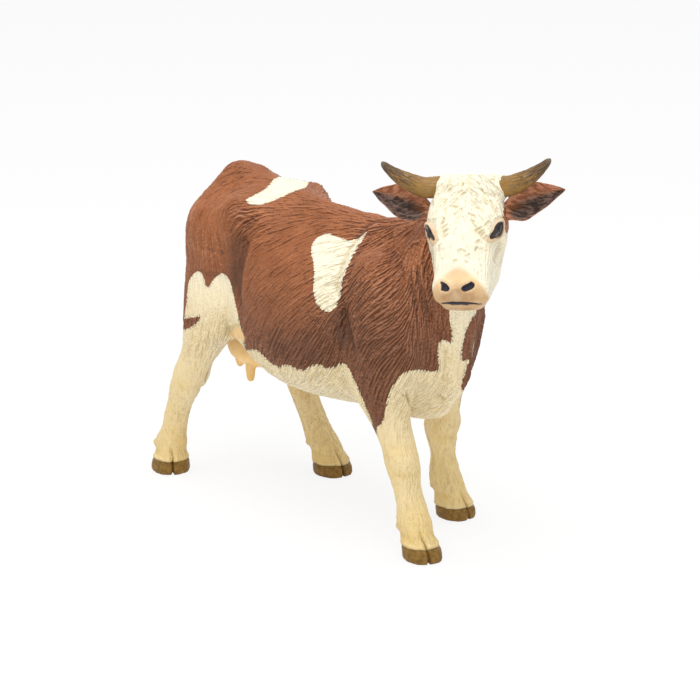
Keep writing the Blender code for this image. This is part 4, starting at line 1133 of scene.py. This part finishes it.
across, thick = np.cos(angle), np.sin(angle)
inner = ramp(thick, 0.05, 0.40) * ramp(across, -0.42, 0.02)
inner = inner * ramp(share, 0.10, 0.24) * ramp(-share, -0.97, -0.86)
slant = np.array(((0.55, 0.9, 0.0), (-0.9, 0.25, 0.0), (0.0, 0.0, 1.0)))
comb_place = on_tube(share * 26.0, across * 6.0, thick * 2.0) @ slant * (1.0, 0.35, 1.0)
rolled = 0.10 * bell(across, -0.80, 0.22) * ramp(share, 0.1, 0.3) * ramp(-share, -0.95, -0.7)
depth = (half_thick * thick + cup * across ** 2 - inner * (0.5 * cup * (1.0 - across ** 2))
         + rolled * ramp(thick, -0.2, 0.4))
for side, word, stretch in ((1.0, "ear_left", 1.0), (-1.0, "ear_right", 1.05)):
    hair = strands(comb_place, 0.5, (5.0, 9.0), (41 + int(side), 44), 0.6)
    out = head_left * side - head_down * ear_rise
    out /= np.linalg.norm(out)
    broad = head_down - out * (head_down @ out)
    broad /= np.linalg.norm(broad)
    front = -np.cross(out, broad) * side
    lobe = 0.03 * np.sin(share * 21.0 + 2.0 * side) + 0.36 * bell(share, 0.26, 0.22)
    wavy = 1.0 + ramp(across, 0.0, 0.5) * lobe
    surface = (poll + head_axes @ (ear_root * (1.0, side, 1.0))
               + ear_length * (out * (reach * stretch)[..., None] + broad * sag[..., None])
               + ear_width * (broad * (half_width * across * wavy)[..., None] + front * depth[..., None])
               + front * (0.00007 * np.clip(hair, -2, 2) * (0.4 + 0.6 * inner))[..., None])
    put_tube(word, surface, (surface[0].mean(axis=0), surface[-1].mean(axis=0)), ear_vinyl,
             {"inner": (inner, 0.0), "hair": (hair, 0.0), "reach": (share, 1.0), "across": (across, 0.0)},
             "ear_brown")

paint = Paint(ear_vinyl, 0.55)
inner, hair, reach = paint.layer("inner"), paint.layer("hair"), paint.layer("reach")
back = paint.mix(paint.ramp(hair, -1.6, 1.6), (0.290, 0.095, 0.038), (0.62, 0.270, 0.145))
pit = paint.mix(paint.ramp(hair, -1.2, 1.5), (0.038, 0.023, 0.018), (0.185, 0.115, 0.088))
pit = paint.mix(paint.times(paint.ramp(reach, 0.42, 0.22), paint.ramp(paint.layer("across"), 0.45, 0.05)),
                pit, (0.16, 0.055, 0.014))
ear = paint.mix(inner, back, pit)
paint.finish(ear, hair, 0.00009, 0.7)

# Tail: a moulding of its own, glued into the rump. It hangs from the tailhead down the right buttock and
# ends in a brush of long hair, painted brown down to the cream brush.
tail_radius = 0.0021
body_length, body_width, leg_height, body_depth, origin_shift = 0.100, 0.050, 0.034, 0.052, 0.00058
tail_stations = np.array((  # along and across the body, height in shares of the leg and then the body, radius
    (-0.440, 0.00, 1.98, 0.95), (-0.485, 0.00, 1.995, 1.10), (-0.518, 0.00, 1.95, 1.08),
    (-0.535, -0.005, 1.83, 0.95),
    (-0.545, -0.01, 1.65, 0.86), (-0.552, -0.025, 1.46, 0.80), (-0.556, -0.055, 1.27, 0.84),
    (-0.560, -0.09, 1.12, 1.05),
    (-0.562, -0.12, 0.94, 1.25), (-0.562, -0.14, 0.76, 0.85), (-0.562, -0.145, 0.68, 0.30)))
tail_rings, tail_around = 260, 72
tail_vinyl = bpy.data.materials.new("tail_paint")
line = curve_through(tail_stations, tail_rings)
height = np.where(line[:, 2] < 1.0, line[:, 2] * leg_height, leg_height + (line[:, 2] - 1.0) * body_depth)
path = np.stack((line[:, 0] * body_length + origin_shift, line[:, 1] * body_width, height), axis=1)
share = np.linspace(0.0, 1.0, tail_rings)[:, None]
angle = np.linspace(0.0, math.tau, tail_around, endpoint=False)[None]
brush = ramp(share, 0.60, 0.72)
hair = strands(on_tube(np.cos(angle) * 1.5, np.sin(angle) * 1.5, share * 5.0), 0.30, (4.0, 8.0), (51, 52),
               0.7)
radii = tail_radius * line[:, 3:4] * blunt(share, 0.97).clip(0.03, 1.0)
radii = radii * (1.0 + np.clip(hair, -2, 2) * (0.025 + 0.075 * brush))
put_tube("tail", tube_surface(path, radii, angle, np.array((1.0, 0.0, 0.3))),
         (path[0], path[-1] - (0.0, 0.0, 0.00002)),
         tail_vinyl, {"strand": (hair, 0.0), "brush": (brush, 1.0)}, "body_brown")

paint = Paint(tail_vinyl, 0.55)
strand_value, brush_value = paint.layer("strand"), paint.layer("brush")
tail_brown = paint.mix(paint.ramp(strand_value, -1.8, 1.8), (0.150, 0.050, 0.022), (0.36, 0.140, 0.068))
tail_cream = paint.mix(paint.ramp(strand_value, -1.8, 0.6), (0.42, 0.30, 0.12), (0.88, 0.80, 0.60))
brush_edge = paint.ramp(paint.plus(brush_value, strand_value, 0.10), 0.35, 0.65)
paint.finish(paint.mix(brush_edge, tail_brown, tail_cream), strand_value, 0.0001, 0.7)

# Udder: a soft bag with four teats, moulded with the belly and painted a warm peach. The forms are run
# together and smoothed.
udder_voxel = 0.00026
work = bmesh.new()
work.from_mesh(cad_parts["udder"].data)
bmesh.ops.remove_doubles(work, verts=work.verts, dist=1e-6)
udder_points, udder_faces = wrapped(work, udder_voxel)
udder_net = net_of(udder_faces, len(udder_points))
for _ in range(26):
    udder_points = evened(evened(udder_points, udder_net, 1, 0.5), udder_net, 1, -0.46)
# Teats taper to a blunt cone: each point below the bag is drawn towards its teat's middle, more the lower
# it hangs.
teat_top, teat_tip = 0.0352, 0.0301
teat_middles = np.array(((-0.0345, -0.0065), (-0.0345, 0.0065), (-0.0415, -0.0045), (-0.0415, 0.0045)))
offsets = udder_points[:, None, :2] - (teat_middles + (origin_shift, 0.0))
offset = offsets[np.arange(len(offsets)), (offsets ** 2).sum(axis=2).argmin(axis=1)]
drawn = ramp(-udder_points[:, 2], -teat_top, -teat_tip) * (np.hypot(*offset.T) < 0.0026)
rear = udder_points[:, 0] < -0.0375
udder_points[:, :2] -= np.where(rear, 0.30, 0.12)[:, None] * drawn[:, None] * offset
hang = np.minimum(udder_points[:, 2] - teat_top, 0.0)
udder_points[:, 2] += hang * (np.where(rear, 0.62, 1.10) - 1.0)
udder = {"points": udder_points, "faces": udder_faces, "net": udder_net,
         "relief": np.zeros(len(udder_points)), "rim": np.zeros(len(udder_points), bool)}
face_camera(udder)
press(udder, "relief", -0.7 * mm, 0.6 * mm, ((-0.0455, 0.0, 0.0345), (-0.030, 0.0, 0.0335)), downward, True)
udder["relief"] += 0.03 * mm * value_noise(udder_points, 0.8 * mm, 61)
udder["relief"] += 0.12 * mm * value_noise(udder_points, 3.0 * mm, 62)
settle(udder)
udder_skin = bpy.data.materials.new("udder_paint")
put_shape("udder", udder["points"], udder_faces.tolist(), udder_skin,
          {"depth": 0.0430 - udder["points"][:, 2]},
          "udder_peach", "udder")

paint = Paint(udder_skin, 0.50)
soft = paint.noise(260.0, 4.0)
udder_colour = paint.mottled(soft, (0.93, 0.62, 0.27), (0.97, 0.71, 0.37))
udder_colour = paint.wash(udder_colour, paint.ramp(paint.layer("depth"), 0.0065, 0.0125), 0.75,
                          (0.76, 0.46, 0.115))
paint.finish(udder_colour, paint.noise(1800.0, 4.0), 0.00006, 0.5)

# Floor and light: a white sheet and soft boxes. The sheet shows white to the camera and still takes the
# cow's shadow.
floor_mesh = bpy.data.meshes.new("floor")
floor_mesh.from_pydata([(-6, -6, 0), (6, -6, 0), (6, 6, 0), (-6, 6, 0)], [], [(0, 1, 2, 3)])
floor = bpy.data.objects.new("floor", floor_mesh)
bpy.context.scene.collection.objects.link(floor)
white = bpy.data.materials.new("white_sheet")
paint = Paint(white, 0.9)
paint.shader.inputs["Base Color"].default_value = (0.90, 0.90, 0.90, 1.0)
glow = paint.add("Emission", (1.0, 1.0, 1.0, 1.0), 1.0)


def seen_directly(tree):
    """1 for rays from the camera, through glass or off a glossy surface, and 0 for the rays that light
    things."""
    rays = tree.nodes.new("ShaderNodeLightPath").outputs
    ray = rays["Is Camera Ray"]
    for kind in ("Is Glossy Ray", "Is Transmission Ray"):
        larger = tree.nodes.new("ShaderNodeMath")
        larger.operation = "MAXIMUM"
        tree.links.new(ray, larger.inputs[0])
        tree.links.new(rays[kind], larger.inputs[1])
        ray = larger.outputs[0]
    return ray


ray = seen_directly(white.node_tree)
mixed = paint.add("MixShader", paint.times(ray, 0.84), paint.shader.outputs[0], glow.outputs[0])
paint.links.new(mixed.outputs[0], paint.nodes["Material Output"].inputs["Surface"])
floor_mesh.materials.append(white)
bpy.context.scene.view_settings.view_transform = "Standard"
world = bpy.data.worlds.new("studio")
bpy.context.scene.world = world
world.use_nodes = True
world_nodes, world_links = world.node_tree.nodes, world.node_tree.links
background = world_nodes["Background"]
background.inputs["Color"].default_value = (1.0, 1.0, 1.0, 1.0)
view_ray = seen_directly(world.node_tree)
strength = world_nodes.new("ShaderNodeMapRange")
world_links.new(view_ray, strength.inputs[0])
strength.inputs[3].default_value, strength.inputs[4].default_value = 0.72, 1.0
world_links.new(strength.outputs[0], background.inputs["Strength"])
for name, spot, size, power in (("top_box", (0.05, -0.12, 0.80), 0.60, 4.0),
                                ("front_box", (0.50, -0.45, 0.30), 0.40, 0.65)):
    lamp = bpy.data.lights.new(name, "AREA")
    lamp.shape, lamp.size, lamp.energy = "SQUARE", size, power
    box = bpy.data.objects.new(name, lamp)
    box.location = spot
    box.rotation_mode = "QUATERNION"
    box.rotation_quaternion = (Vector(spot) - Vector((0.0, 0.0, 0.05))).to_track_quat("Z", "Y")
    bpy.context.scene.collection.objects.link(box)
